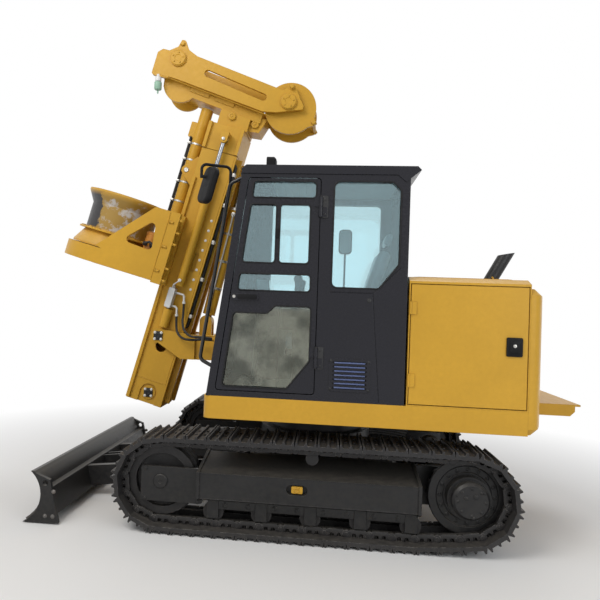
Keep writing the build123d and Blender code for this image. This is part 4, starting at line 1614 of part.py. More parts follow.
with BuildPart() as crown:
    for y in (CROWN_OUT, -CROWN_IN):
        with BuildSketch(mast_side(y)):
            with BuildLine():
                FilletPolyline(*crown_plate, radius=CROWN_ROUND, close=True)
            make_face()
            with Locations(slot_mid):
                SlotCenterToCenter(
                    hypot(slot_run, slot_rise),
                    CROWN_SLOT_H,
                    rotation=atan2(slot_rise, slot_run) * 180 / pi,
                    mode=Mode.SUBTRACT,
                )
        extrude(amount=CROWN_OUT - CROWN_IN)
    for half, rear, front, low, high in (
        (UNDER_HALF, UNDER_REAR, UNDER_FRONT, -UNDER_DEEP, 1),
        (CROWN_IN + 1, UNDER_REAR, CROWN_FLOOR_FRONT, 0, CROWN_FLOOR_T),
    ):
        with BuildSketch(mast_side(half)):
            with BuildLine():
                Polyline(
                    (rear, crown_edge(rear) + low),
                    (front, crown_edge(front) + low),
                    (front, crown_edge(front) + high),
                    (rear, crown_edge(rear) + high),
                    close=True,
                )
            make_face()
        extrude(amount=2 * half)
    with BuildSketch(mast_side(EAR_HALF)):
        with BuildLine():
            Polyline(
                (NECK_REAR, EAR_TOP),
                (NECK_REAR - EAR_LONG, EAR_TOP),
                (NECK_REAR - EAR_LONG + EAR_CUT, EAR_LOW + EAR_CUT / 4),
                (NECK_REAR, EAR_LOW),
                close=True,
            )
        make_face()
    extrude(amount=2 * EAR_HALF)
    ear_pin = (NECK_REAR - EAR_LONG / 3, (EAR_TOP + EAR_LOW) / 2)
    with BuildSketch(mast_side(EAR_HALF + CROWN_PAD_T)):
        with Locations(ear_pin):
            Circle(EAR_PIN_R)
    extrude(amount=2 * (EAR_HALF + CROWN_PAD_T))
    with BuildSketch(mast_side(UNDER_HALF + CROWN_PAD_T)):
        for v in CROWN_PADS:
            with Locations((v, crown_edge(v) - CROWN_PAD_H / 2)):
                Rectangle(CROWN_PAD_LONG, CROWN_PAD_H, rotation=atan2(CROWN_RISE, 1) * 180 / pi)
    extrude(amount=2 * (UNDER_HALF + CROWN_PAD_T))
    with BuildSketch(mast_side(CROWN_OUT)):
        with Locations((CROWN_NOSE_V - NOSE_BAR_LONG / 2, CROWN_NOSE_LOW)):
            SlotOverall(NOSE_BAR_LONG, 2 * NOSE_BAR_R)
    extrude(amount=CROWN_OUT - CROWN_IN)
    for y in (UNDER_HALF, -UNDER_HALF + GUIDE_T):
        with BuildSketch(mast_side(y)):
            with Locations(FRONT_GUIDE):
                Circle(FRONT_GUIDE_R)
        extrude(amount=GUIDE_T)
    for y in (REAR_GUARD_IN + REAR_GUARD_T, -REAR_GUARD_IN):
        with BuildSketch(mast_side(y)):
            with Locations(REAR_GUARD):
                Circle(REAR_GUARD_R)
            with BuildLine():
                Polyline(
                    (REAR_GUARD[0], REAR_GUARD[1] + REAR_GUARD_R),
                    (REAR_TIE[0] - TIE_PAD, REAR_TIE[1]),
                    (REAR_TIE[0], REAR_TIE[1] - TIE_PAD),
                    (REAR_GUARD[0], REAR_GUARD[1] - REAR_GUARD_R),
                    close=True,
                )
            make_face()
        extrude(amount=REAR_GUARD_T)
    for axle in (FRONT_AXLE, REAR_AXLE):
        with BuildSketch(mast_side(CROWN_OUT)):
            with Locations(axle):
                Circle(AXLE_R)
        extrude(amount=2 * CROWN_OUT)
        for y in (CROWN_OUT + AXLE_CAP_T, -CROWN_OUT):
            with BuildSketch(mast_side(y)):
                with Locations(axle):
                    Circle(AXLE_CAP_R)
            extrude(amount=AXLE_CAP_T)
    for tie, half in ((FRONT_TIE, CROWN_OUT), (REAR_TIE, REAR_GUARD_IN + REAR_GUARD_T)):
        with BuildSketch(mast_side(half)):
            with Locations(tie):
                Circle(TIE_R)
        extrude(amount=2 * half)
    for y in (CROWN_OUT + TIE_R, -CROWN_IN):
        with BuildSketch(mast_side(y)):
            with Locations(TOP_TIE):
                Circle(TIE_R)
        extrude(amount=CROWN_OUT - CROWN_IN + TIE_R)


def sheave_profile(radius):
    bore = AXLE_R + PIN_PLAY
    hub = bore + SHEAVE_GROOVE
    inner = radius - 2 * SHEAVE_GROOVE
    half = (
        (bore, SHEAVE_HUB_HALF),
        (hub, SHEAVE_HUB_HALF),
        (hub, SHEAVE_WEB),
        (inner, SHEAVE_WEB),
        (inner, SHEAVE_HALF),
        (radius, SHEAVE_HALF),
    )
    return half + ((radius - SHEAVE_GROOVE, 0),) + tuple((r, -y) for r, y in reversed(half))


# Rope sheaves of the crown
with BuildPart() as front_sheave:
    with BuildSketch(mast_level(FRONT_AXLE[1])):
        with BuildLine():
            Polyline(*((FRONT_AXLE[0] + r, y) for r, y in sheave_profile(FRONT_SHEAVE_R)), close=True)
        make_face()
    front_spot = mast_point(*FRONT_AXLE)
    revolve(axis=Axis((SLEW_X + front_spot[0], 0, front_spot[1]), (0, 1, 0)))

with BuildPart() as rear_sheave:
    with BuildSketch(mast_level(REAR_AXLE[1])):
        with BuildLine():
            Polyline(*((REAR_AXLE[0] + r, y) for r, y in sheave_profile(REAR_SHEAVE_R)), close=True)
        make_face()
    rear_spot = mast_point(*REAR_AXLE)
    revolve(axis=Axis((SLEW_X + rear_spot[0], 0, rear_spot[1]), (0, 1, 0)))

# Carriage: back plate with claws round the guide rails, tray and slotted gussets
web_in = GUIDE_OUT + CARR_GAP
with BuildPart() as carriage:
    with BuildSketch(mast_level(CARR_LOW)):
        with Locations(((CARR_BACK + CARR_FACE) / 2, 0)):
            Rectangle(CARR_FACE - CARR_BACK, 2 * CARR_HALF)
        for y in (1, -1):
            with Locations(((CARR_CLAW_BACK + CARR_FACE) / 2, y * (web_in + WEB_T / 2))):
                Rectangle(CARR_FACE - CARR_CLAW_BACK, WEB_T)
            with Locations(((CARR_CLAW_BACK + GUIDE_BACK - CARR_GAP) / 2, y * (web_in - CLAW_T / 2))):
                Rectangle(GUIDE_BACK - CARR_GAP - CARR_CLAW_BACK, CLAW_T + 2)
            with Locations(((CARR_CLAW_BACK + CARR_FACE) / 2, y * (CARR_HALF - CARR_SIDE_T))):
                Rectangle(CARR_FACE - CARR_CLAW_BACK, 2 * CARR_SIDE_T)
    extrude(amount=CARR_HIGH - CARR_LOW)
    with BuildSketch(mast_level(TRAY_U_LOW)):
        with Locations((DRUM_V, 0)):
            Circle(CARR_HALF)
        with Locations(((CARR_BACK + DRUM_V) / 2, 0)):
            Rectangle(DRUM_V - CARR_BACK, 2 * CARR_HALF)
    extrude(amount=TRAY_U_TOP - TRAY_U_LOW)
    with BuildSketch(mast_level(TRAY_U_LOW)):
        with Locations((DRUM_V, 0)):
            Circle(CARR_HALF - CARR_SIDE_T)
        with Locations(((CARR_FACE + DRUM_V) / 2, 0)):
            Rectangle(DRUM_V - CARR_FACE, 2 * (CARR_HALF - CARR_SIDE_T))
    extrude(amount=TRAY_U_TOP - TRAY_U_LOW - CARR_SIDE_T, mode=Mode.SUBTRACT)
    with BuildSketch(mast_level(TRAY_U_LOW)):
        with Locations((DRUM_V, 0)):
            Circle(SLEEVE_R + 2 * CARR_SIDE_T)
    extrude(amount=TRAY_U_TOP - TRAY_U_LOW)
    with BuildSketch(mast_level(TRAY_U_LOW)):
        with Locations((DRUM_V, 0)):
            Circle(SLEEVE_R + TRAY_BORE_PLAY)
    extrude(amount=TRAY_U_TOP - TRAY_U_LOW, mode=Mode.SUBTRACT)
    with BuildSketch(mast_level(TRAY_U_TOP - 1)):
        with Locations((FEED_V, 0)):
            Rectangle(2 * FEED_ROD_R, 2.4 * FEED_ROD_R)
    extrude(amount=LUG_U - TRAY_U_TOP + 1)
    for y in (CARR_HALF, -CARR_HALF + CARR_SIDE_T):
        with BuildSketch(mast_side(y)):
            with BuildLine():
                Polyline(*GUSSET, close=True)
            make_face()
            with BuildLine():
                FilletPolyline(*GUSSET_HOLE, radius=GUSSET_HOLE_ROUND, close=True)
            make_face(mode=Mode.SUBTRACT)
        extrude(amount=CARR_SIDE_T)

# Rotary motors on the tray
with BuildPart() as rotary_motors:
    for radius, high in ((MOTOR_R * 1.25, TRAY_U_TOP + MOTOR_R), (MOTOR_R, MOTOR_TOP)):
        with BuildSketch(mast_level(TRAY_U_TOP)):
            with Locations((MOTOR_V, MOTOR_Y), (MOTOR_V, -MOTOR_Y)):
                Circle(radius)
        extrude(amount=high - TRAY_U_TOP)

# Drive pot that turns the drill string
with BuildPart() as drive_pot:
    with BuildSketch(mast_side(0)):
        with BuildLine():
            Polyline(
                (DRUM_V + SLEEVE_BORE, SLEEVE_LOW),
                (DRUM_V + SLEEVE_R, SLEEVE_LOW),
                (DRUM_V + SLEEVE_R, DRUM_LOW),
                (DRUM_V + DRUM_SKIRT_R, DRUM_LOW),
                (DRUM_V + DRUM_SKIRT_R, DRUM_LOW + DRUM_RIM),
                (DRUM_V + DRUM_WALL_R, DRUM_SKIRT_TOP),
                (DRUM_V + DRUM_WALL_R, DRUM_FLARE),
                (DRUM_V + DRUM_FLANGE_R, DRUM_HIGH - DRUM_RIM),
                (DRUM_V + DRUM_FLANGE_R, DRUM_HIGH),
                (DRUM_V + DRUM_FLANGE_R - DRUM_WALL_T, DRUM_HIGH),
                (DRUM_V + DRUM_WALL_R - DRUM_WALL_T, DRUM_FLARE + DRUM_RIM),
                (DRUM_V + DRUM_WALL_R - DRUM_WALL_T, DRUM_WEB_TOP),
                (DRUM_V + SLEEVE_BORE, DRUM_WEB_TOP),
                close=True,
            )
        make_face()
    drum_spot = mast_point(DRUM_V, 0)
    revolve(axis=Axis((SLEW_X + drum_spot[0], 0, drum_spot[1]), (-sin(LEAN), 0, cos(LEAN))))

# Mast tilt cylinder
tilt_long = hypot(tilt_eye[0] - TILT_BASE[0], tilt_eye[1] - TILT_BASE[1])
with BuildPart() as tilt_barrel:
    with BuildSketch(stroke_plane(TILT_BASE, tilt_eye, TILT_BARREL_START)):
        Circle(TILT_BARREL_R)
    extrude(amount=TILT_BARREL_LONG)
    with BuildSketch(stroke_plane(TILT_BASE, tilt_eye, 0)):
        Circle(CYL_NECK_R)
    extrude(amount=TILT_BARREL_START + 1)
    with BuildSketch(side(CYL_EYE_HALF)):
        with Locations(TILT_BASE):
            Circle(TILT_EYE_R)
    extrude(amount=2 * CYL_EYE_HALF)
    with BuildSketch(side(TILT_BARREL_R)):
        with Locations(TILT_BASE):
            Circle(TILT_CYL_PIN_R + PIN_PLAY)
    extrude(amount=2 * TILT_BARREL_R, mode=Mode.SUBTRACT)
    with BuildSketch(stroke_plane(TILT_BASE, tilt_eye, TILT_BORE_START)):
        Circle(TILT_ROD_R + PIN_PLAY)
    extrude(amount=TILT_BARREL_LONG, mode=Mode.SUBTRACT)

with BuildPart() as tilt_rod:
    tilt_rod_start = TILT_BORE_START + TILT_BARREL_LONG / 2
    with BuildSketch(stroke_plane(TILT_BASE, tilt_eye, tilt_rod_start)):
        Circle(TILT_ROD_R)
    extrude(amount=tilt_long - tilt_rod_start)
    with BuildSketch(side(CYL_EYE_HALF)):
        with Locations(tilt_eye):
            Circle(TILT_EYE_R)
    extrude(amount=2 * CYL_EYE_HALF)
    with BuildSketch(side(cyl_in + CYL_LUG_T)):
        with Locations(tilt_eye):
            Circle(TILT_CYL_PIN_R)
    extrude(amount=2 * (cyl_in + CYL_LUG_T))

# Rope winch right of the cab
with BuildPart() as winch_frame:
    with BuildSketch(level(DECK_TOP)):
        with Locations((WINCH_X, WINCH_CENTRE_Y)):
            Rectangle(2 * WINCH_FOOT, 2 * WINCH_HALF)
    extrude(amount=WINCH_PLATE_T)
    for y in (WINCH_CENTRE_Y + WINCH_HALF, WINCH_CENTRE_Y - WINCH_HALF + WINCH_PLATE_T):
        with BuildSketch(side(y)):
            with Locations((WINCH_X, WINCH_Z)):
                Circle(2 * WINCH_SHAFT_R)
            with BuildLine():
                Polyline(
                    (WINCH_X - WINCH_FOOT, DECK_TOP),
                    (WINCH_X + WINCH_FOOT, DECK_TOP),
                    (WINCH_X + 2 * WINCH_SHAFT_R, WINCH_Z),
                    (WINCH_X - 2 * WINCH_SHAFT_R, WINCH_Z),
                    close=True,
                )
            make_face()
            with Locations((WINCH_X, WINCH_Z)):
                Circle(WINCH_SHAFT_R + PIN_PLAY, mode=Mode.SUBTRACT)
        extrude(amount=WINCH_PLATE_T)

drum_half = WINCH_HALF - WINCH_PLATE_T - WINCH_GAP
with BuildPart() as winch_drum:
    for radius, half in ((WINCH_DRUM_R, drum_half), (WINCH_SHAFT_R, WINCH_HALF)):
        with BuildSketch(side(WINCH_CENTRE_Y)):
            with Locations((WINCH_X, WINCH_Z)):
                Circle(radius)
        extrude(amount=half, both=True)
    for y in (WINCH_CENTRE_Y + drum_half, WINCH_CENTRE_Y - drum_half + WINCH_PLATE_T):
        with BuildSketch(side(y)):
            with Locations((WINCH_X, WINCH_Z)):
                Circle(WINCH_FLANGE_R)
        extrude(amount=WINCH_PLATE_T)

# Hose from the lower elbow
low_radii = bend_radii(LOW_RUNS)
with BuildPart() as hose_low:
    with BuildLine():
        FilletPolyline(*low_route, radius=low_radii)
    with BuildSketch(Plane(low_route[0], z_dir=LOW_RUNS[0])):
        Circle(HOSE_R)
    sweep()

# Hose from the upper elbow
high_radii = bend_radii(HIGH_RUNS)
with BuildPart() as hose_high:
    with BuildLine():
        FilletPolyline(*high_route, radius=high_radii)
    with BuildSketch(Plane(high_route[0], z_dir=HIGH_RUNS[0])):
        Circle(HOSE_R)
    sweep()

for name, radii in (("hose_low", low_radii), ("hose_high", high_radii)):
    print(name, "bend radii", [round(r) for r in radii])

for built, name in (
    (track_left, "track_left"),
    (track_right, "track_right"),
    (idlers, "idlers"),
    (sprockets, "sprockets"),
    (final_drives, "final_drives"),
    (track_rollers, "track_rollers"),
    (track_frames, "track_frames"),
    (car_body, "car_body"),
    (slew_bearing, "slew_bearing"),
    (blade, "blade"),
    (blade_barrel, "blade_barrel"),
    (blade_rod, "blade_rod"),
    (deck_frame, "deck_frame"),
    (belly_frame, "belly_frame"),
    (counterweight, "counterweight"),
    (rear_tray, "rear_tray"),
    (engine_housing, "engine_housing"),
    (hood_door, "hood_door"),
    (engine, "engine"),
    (right_housing, "right_housing"),
    (exhaust, "exhaust"),
    (cab_left_panel, "cab_left_panel"),
    (cab_right_panel, "cab_right_panel"),
    (cab_front_frame, "cab_front_frame"),
    (cab_rear_panel, "cab_rear_panel"),
    (cab_roof, "cab_roof"),
    (roof_lamp, "roof_lamp"),
    (cab_floor, "cab_floor"),
    (cab_glazing, "cab_glazing"),
    (cab_door, "cab_door"),
    (door_glazing, "door_glazing"),
    (seat, "seat"),
    (console, "console"),
    (grab_rail, "grab_rail"),
    (mirror_head, "mirror_head"),
    (mast_bracket, "mast_bracket"),
    (mast_lower, "mast_lower"),
    (feed_barrel, "feed_barrel"),
    (feed_rod, "feed_rod"),
    (extension_barrel, "extension_barrel"),
    (extension_rod, "extension_rod"),
    (valve_block, "valve_block"),
    (mast_upper, "mast_upper"),
    (crown, "crown"),
    (front_sheave, "front_sheave"),
    (rear_sheave, "rear_sheave"),
    (carriage, "carriage"),
    (rotary_motors, "rotary_motors"),
    (drive_pot, "drive_pot"),
    (tilt_barrel, "tilt_barrel"),
    (tilt_rod, "tilt_rod"),
    (winch_frame, "winch_frame"),
    (winch_drum, "winch_drum"),
    (hose_low, "hose_low"),
    (hose_high, "hose_high"),
):
    built.part.label = name
    export_step(built.part, "parts/" + name + ".step")
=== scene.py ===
import json
import random
from math import acos, asin, atan2, cos, hypot, pi, radians, sin

import bmesh
import bpy
from mathutils import Matrix, Vector


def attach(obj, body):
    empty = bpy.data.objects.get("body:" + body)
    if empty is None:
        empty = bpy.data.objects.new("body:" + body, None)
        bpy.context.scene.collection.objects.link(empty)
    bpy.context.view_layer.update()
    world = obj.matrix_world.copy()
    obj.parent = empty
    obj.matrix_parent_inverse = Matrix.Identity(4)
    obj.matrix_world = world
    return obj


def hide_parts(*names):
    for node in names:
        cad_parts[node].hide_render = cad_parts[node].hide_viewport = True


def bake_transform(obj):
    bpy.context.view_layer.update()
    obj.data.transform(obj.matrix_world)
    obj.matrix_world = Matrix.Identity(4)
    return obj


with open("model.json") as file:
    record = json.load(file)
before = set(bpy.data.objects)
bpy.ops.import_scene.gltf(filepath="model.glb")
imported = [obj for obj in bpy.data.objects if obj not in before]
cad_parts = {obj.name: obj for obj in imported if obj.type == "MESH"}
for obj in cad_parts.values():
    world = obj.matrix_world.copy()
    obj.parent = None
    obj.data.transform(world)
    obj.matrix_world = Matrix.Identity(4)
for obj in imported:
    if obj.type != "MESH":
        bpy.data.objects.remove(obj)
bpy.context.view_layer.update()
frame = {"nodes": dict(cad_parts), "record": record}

random.seed(11)
scene = bpy.context.scene
nodes = frame["nodes"]
slot_of = {s["node"]: s["material_slot"] for s in frame["record"]["subparts"]}

# Places are in millimetres: forward, left and up from the slew axis on the ground,
# or forward, up and left of the tilt pin in the leaning mast.
SLEW_X = -149.855
PIVOT_X, PIVOT_Z, LEAN = 1390, 1365, radians(15)
POT_V = 700
LEFT = Vector((0, 1, 0))
UP = Vector((0, 0, 1))
FORWARD = Vector((1, 0, 0))
LEAN_BACK = Vector((-0.47, 0, 0.88))
SIDES = (1, -1)


def at(x, y, z):
    return Vector((SLEW_X + x, y, z)) / 1000


def mast(v, u, y):
    return at(PIVOT_X + cos(LEAN) * v - sin(LEAN) * u, y, PIVOT_Z + sin(LEAN) * v + cos(LEAN) * u)


def slant_x(z):
    return 775 - 206 * (z - 1008) / 1650


AHEAD = (mast(1, 0, 0) - mast(0, 0, 0)).normalized()
ALONG = (mast(0, 1, 0) - mast(0, 0, 0)).normalized()


# Materials
materials = {}


def new_look(name):
    made = bpy.data.materials.new(name)
    made.use_nodes = True
    materials[name] = made
    return made.node_tree


def fill(tree, node, inputs):
    for key, value in inputs.items():
        if isinstance(value, bpy.types.NodeSocket):
            tree.links.new(value, node.inputs[key])
        else:
            node.inputs[key].default_value = value


def add(tree, kind, inputs=None, **props):
    made = tree.nodes.new("ShaderNode" + kind)
    for key, value in props.items():
        setattr(made, key, value)
    fill(tree, made, inputs or {})
    return made


def noise(tree, place, scale, detail=4, rough=0.55):
    inputs = {"Vector": place, "Scale": scale, "Detail": detail, "Roughness": rough}
    return add(tree, "TexNoise", inputs).outputs["Fac"]


def dot(tree, a, b):
    return add(tree, "VectorMath", {0: a, 1: b}, operation="DOT_PRODUCT").outputs["Value"]


def upward(tree, vector):
    return add(tree, "SeparateXYZ", {0: vector}).outputs["Z"]


def ramp(tree, value, low, high, out_low=0.0, out_high=1.0):
    inputs = {"Value": value, "From Min": low, "From Max": high, "To Min": out_low, "To Max": out_high}
    return add(tree, "MapRange", inputs).outputs["Result"]


def times(tree, a, b):
    return add(tree, "Math", {0: a, 1: b}, operation="MULTIPLY").outputs[0]


def most(tree, a, b):
    return add(tree, "Math", {0: a, 1: b}, operation="MAXIMUM").outputs[0]


def blend_colour(tree, share, a, b):
    a, b = (c if isinstance(c, bpy.types.NodeSocket) else (*c, 1) for c in (a, b))
    return add(tree, "Mix", {0: share, 6: a, 7: b}, data_type="RGBA").outputs[2]


DUST, DEEP = (0.40, 0.36, 0.30), 0.002


def surface(
    name, colour, rough=0.4, metal=0.0, tone=0.15, edge_wear_and_highlight=None, edge_wear_and_highlight_share=0.0, dust=0.0, low_dust=0.0,
    grain=220, bump=0.12, edge=0.005, specular=0.5, coat=0.0, stain=None,
):
    """A toned colour with grain, dust from above and low down, stains, and an edge colour: wear on most
    paints, a painted edge highlight on the cab paint.
    """
    tree = new_look(name)
    shader = tree.nodes["Principled BSDF"]
    place = add(tree, "TexCoord").outputs["Object"]
    normal = add(tree, "NewGeometry").outputs["Normal"]
    soft = add(tree, "Bevel", {"Radius": edge}, samples=4).outputs["Normal"]
    broad = noise(tree, place, 2.1, 3)
    fine = noise(tree, place, 31, 6, 0.65)
    dark = tuple(c * (1 - tone) for c in colour)
    light = tuple(min(1, c * (1 + tone)) for c in colour)
    shade = blend_colour(tree, ramp(tree, broad, 0.3, 0.7), dark, light)
    darker = tuple(c * (1 - tone) for c in dark)
    shade = blend_colour(tree, ramp(tree, fine, 0.35, 0.75, 0, 0.5), shade, darker)
    gloss = ramp(tree, fine, 0.3, 0.7, rough * 0.82, min(1, rough * 1.25))
    if stain:
        mask = times(tree, ramp(tree, noise(tree, place, 7.5, 6, 0.7), 0.5, 0.66), stain[1])
        shade = blend_colour(tree, mask, shade, stain[0])
    if dust:
        lying = ramp(tree, upward(tree, normal), 0.25, 0.98)
        mask = times(tree, lying, ramp(tree, fine, 0.25, 0.7, 0.25 * dust, dust))
        shade = blend_colour(tree, mask, shade, DUST)
        gloss = most(tree, gloss, times(tree, mask, 0.9))
    if low_dust:
        low = ramp(tree, upward(tree, place), 0.75, 0.02)
        mask = times(tree, low, ramp(tree, fine, 0.35, 0.75, 0, low_dust))
        shade = blend_colour(tree, mask, shade, DUST)
    # Edge colour: worn paint on most materials, a painted bluish edge highlight on the cab paint.
    if edge_wear_and_highlight:
        edges = ramp(tree, dot(tree, soft, normal), 0.99, 0.86)
        mask = times(tree, edges, ramp(tree, fine, 0.46, 0.62, 0, edge_wear_and_highlight_share))
        shade = blend_colour(tree, mask, shade, edge_wear_and_highlight)
    grains = noise(tree, place, grain, 3)
    lump = add(tree, "Bump", {"Strength": bump, "Distance": DEEP, "Height": grains, "Normal": soft})
    fill(tree, shader, {"Base Color": shade, "Roughness": gloss, "Normal": lump.outputs["Normal"]})
    fill(tree, shader, {"Metallic": metal, "Specular IOR Level": specular})
    fill(tree, shader, {"Coat Weight": coat, "Coat Roughness": 0.08})
    return tree


# Heights where the painted reflection on the glass turns from painted yard to painted sky.
PAINTED_SKYLINE = (1.62, 1.74)


def glass(name, tint, painted_sky, painted_yard):
    """Clear tinted panes whose glossy colour is a painted reflection: a pale sky high up and, low down, a
    mottled yard.
    """
    tree = new_look(name)
    tree.nodes.remove(tree.nodes["Principled BSDF"])
    place = add(tree, "TexCoord").outputs["Object"]
    haze = noise(tree, place, 2.4, 3)
    through = add(tree, "BsdfTransparent", {"Color": (*tint, 1)}).outputs[0]
    # Painted reflection: mottled yard colours low down, a sky colour above the skyline.
    painted_yard_patches = ramp(tree, noise(tree, place, 4.5, 5, 0.6), 0.42, 0.58)
    painted_reflection = blend_colour(tree, painted_yard_patches, tuple(0.45 * c for c in painted_yard), painted_yard)
    painted_reflection = blend_colour(tree, ramp(tree, upward(tree, place), *PAINTED_SKYLINE), painted_reflection, painted_sky)
    mirror = add(tree, "BsdfGlossy", {"Color": painted_reflection, "Roughness": 0.03})
    dirt = add(tree, "BsdfDiffuse", {"Color": (0.42, 0.50, 0.52, 1)}).outputs[0]
    waves = noise(tree, place, 9, 2)
    ripple = add(tree, "Bump", {"Strength": 0.05, "Distance": DEEP, "Height": waves})
    tree.links.new(ripple.outputs["Normal"], mirror.inputs["Normal"])
    rim = add(tree, "Fresnel", {"IOR": 2.25}).outputs[0]
    share = add(tree, "MixShader", {0: rim, 1: through, 2: mirror.outputs[0]}).outputs[0]
    veil = ramp(tree, haze, 0.3, 0.75, 0.01, 0.05)
    film = add(tree, "MixShader", {0: veil, 1: share, 2: dirt})
    tree.links.new(film.outputs[0], tree.nodes["Material Output"].inputs["Surface"])


def drum_paint(name):
    """Paint worn to black scale and bright steel on the pot's wall, whole on its rim."""
    tree = surface(name, YELLOW, 0.4, tone=0.1, edge_wear_and_highlight=(0.08, 0.075, 0.07), edge_wear_and_highlight_share=0.8, dust=0.1, bump=0.15)
    shader = tree.nodes["Principled BSDF"]
    painted = shader.inputs["Base Color"].links[0].from_socket
    place = add(tree, "TexCoord").outputs["Object"]
    high = dot(tree, place, tuple(ALONG))
    foot = mast(0, 0, 0).dot(ALONG)
    ahead = dot(tree, place, tuple(AHEAD))
    axis = mast(POT_V, 0, 0).dot(AHEAD)
    wall = times(tree, ramp(tree, high, foot + 0.74, foot + 0.76), ramp(tree, high, foot + 1.07, foot + 1.03))
    torn = noise(tree, place, 7, 6, 0.7)
    ragged = add(tree, "Math", {0: torn, 1: 0.34, 2: ahead}, operation="MULTIPLY_ADD").outputs[0]
    scale = times(tree, wall, ramp(tree, ragged, axis + 0.275, axis + 0.29))
    middle = times(tree, wall, ramp(tree, ahead, axis + 0.12, axis + 0.04))
    bright = times(tree, ramp(tree, noise(tree, place, 6.5, 6, 0.7), 0.52, 0.59), middle)
    shade = blend_colour(tree, times(tree, wall, 0.75), painted, (0.26, 0.165, 0.035))
    shade = blend_colour(tree, scale, shade, (0.022, 0.021, 0.022))
    shade = blend_colour(tree, bright, shade, (0.50, 0.47, 0.44))
    tree.links.new(shade, shader.inputs["Base Color"])


YELLOW = (0.60, 0.335, 0.036)
surface(
    "yellow_paint", YELLOW, 0.36, tone=0.07,
    edge_wear_and_highlight=(0.36, 0.2, 0.06), edge_wear_and_highlight_share=0.5, dust=0.05, bump=0.04, specular=0.2,
)
surface("motor_paint", (0.62, 0.24, 0.02), 0.35, tone=0.1, dust=0.2, bump=0.06)
surface(
    "black_paint", (0.012, 0.012, 0.013), 0.4, tone=0.3,
    edge_wear_and_highlight=(0.10, 0.095, 0.09), edge_wear_and_highlight_share=0.5, dust=0.16, low_dust=0.06, bump=0.1, specular=0.35,
)
surface(
    "track_steel", (0.02, 0.019, 0.02), 0.55, tone=0.35,
    edge_wear_and_highlight=(0.30, 0.28, 0.27), edge_wear_and_highlight_share=0.8, dust=0.12, low_dust=0.06,
    bump=0.25, edge=0.004, specular=0.4,
)
# Cab paint: its bluish edge colour is a painted edge highlight.
surface(
    "cab_paint", (0.009, 0.009, 0.014), 0.26, tone=0.1,
    edge_wear_and_highlight=(0.06, 0.06, 0.09), edge_wear_and_highlight_share=0.35, dust=0.07, bump=0.015, specular=0.3, coat=0.06,
)
# Glass: its tint, then the painted reflection's sky and yard colours.
glass("glass", (0.875, 0.965, 0.98), (0.74, 0.94, 1.0), (0.78, 0.74, 0.60))
surface("chrome", (0.27, 0.28, 0.30), 0.25, 1.0, tone=0.05, bump=0.02, edge=0.002)
# Seat under plastic film: a pale colour that is partly the cloth and partly a painted sheen of the film's
# highlights.
surface("seat_cloth", (0.40, 0.45, 0.49), 0.45, tone=0.35, grain=24, bump=0.9, coat=0.4)
surface(
    "dark_plastic", (0.009, 0.009, 0.010), 0.5, tone=0.2, dust=0.04, grain=700, bump=0.2, specular=0.14
)
surface("rail_paint", (0.012, 0.012, 0.013), 0.3, tone=0.2, dust=0.1, bump=0.05)
surface(
    "valve_paint", (0.72, 0.73, 0.73), 0.35, tone=0.05, edge_wear_and_highlight=(0.4, 0.38, 0.35), edge_wear_and_highlight_share=0.4, bump=0.04
)
surface("engine_iron", (0.10, 0.10, 0.10), 0.6, tone=0.3, dust=0.3, bump=0.4)
surface(
    "hose_rubber", (0.014, 0.014, 0.015), 0.55, tone=0.2, dust=0.12, grain=500, bump=0.2, specular=0.35
)
surface("zinc", (0.50, 0.49, 0.46), 0.34, 0.85, tone=0.15, bump=0.08, edge=0.002)
surface("bright_bolt", (0.66, 0.65, 0.62), 0.3, 0.6, tone=0.1, bump=0.05, edge=0.002)
surface("rubber_seal", (0.010, 0.010, 0.011), 0.6, tone=0.15, bump=0.1, specular=0.3)
surface("lamp_glass", (0.55, 0.58, 0.60), 0.12, 0.3, tone=0.1, grain=120, bump=0.3, coat=0.8)
surface("bare_steel", (0.20, 0.19, 0.18), 0.42, 0.8, tone=0.25, stain=((0.10, 0.06, 0.03), 0.5), bump=0.2)
surface("rope_steel", (0.17, 0.165, 0.155), 0.45, 0.8, tone=0.2, dust=0.1, bump=0.1, edge=0.001)
drum_paint("pot_paint")
surface("pale_green", (0.30, 0.50, 0.38), 0.4, tone=0.1, bump=0.05)
# Cab lining: its own grey, set lighter so the lower panes look lighter. This is partly a painted reflection
# of the yard.
surface("trim_grey", (0.30, 0.30, 0.28), 0.6, tone=0.12, grain=160, bump=0.03, specular=0.3)
surface("slat_blue", (0.08, 0.11, 0.24), 0.25, tone=0.1, bump=0.03)
surface("screen_face", (0.50, 0.60, 0.64), 0.1, tone=0.2, bump=0.01, coat=0.8)
surface("pale_trim", (0.70, 0.69, 0.64), 0.6, tone=0.08, grain=300, bump=0.15)
# Inside mirror: a pale face that is a painted reflection of the bright surroundings.
surface("mirror_painted_reflection", (0.85, 0.90, 0.90), 0.15, tone=0.03, bump=0.01, coat=0.5)


# Mesh helpers
def put(name, data):
    made = bpy.data.objects.new(name, data)
    scene.collection.objects.link(made)
    return made


def smooth(data):
    data.polygons.foreach_set("use_smooth", [True] * len(data.polygons))


def frame_on(axis):
    axis = Vector(axis).normalized()
    across = axis.orthogonal().normalized()
    return across, axis.cross(across), axis


def side_on(y):
    """The upright plane along the machine at y: places from forward and up."""
    return lambda x, z: at(x, y, z)


def level_at(z):
    return lambda x, y: at(x, y, z)


def cross_at(x):
    return lambda y, z: at(x, y, z)


BEAD_SIDES, SHARP = 7, radians(32)
riding = []


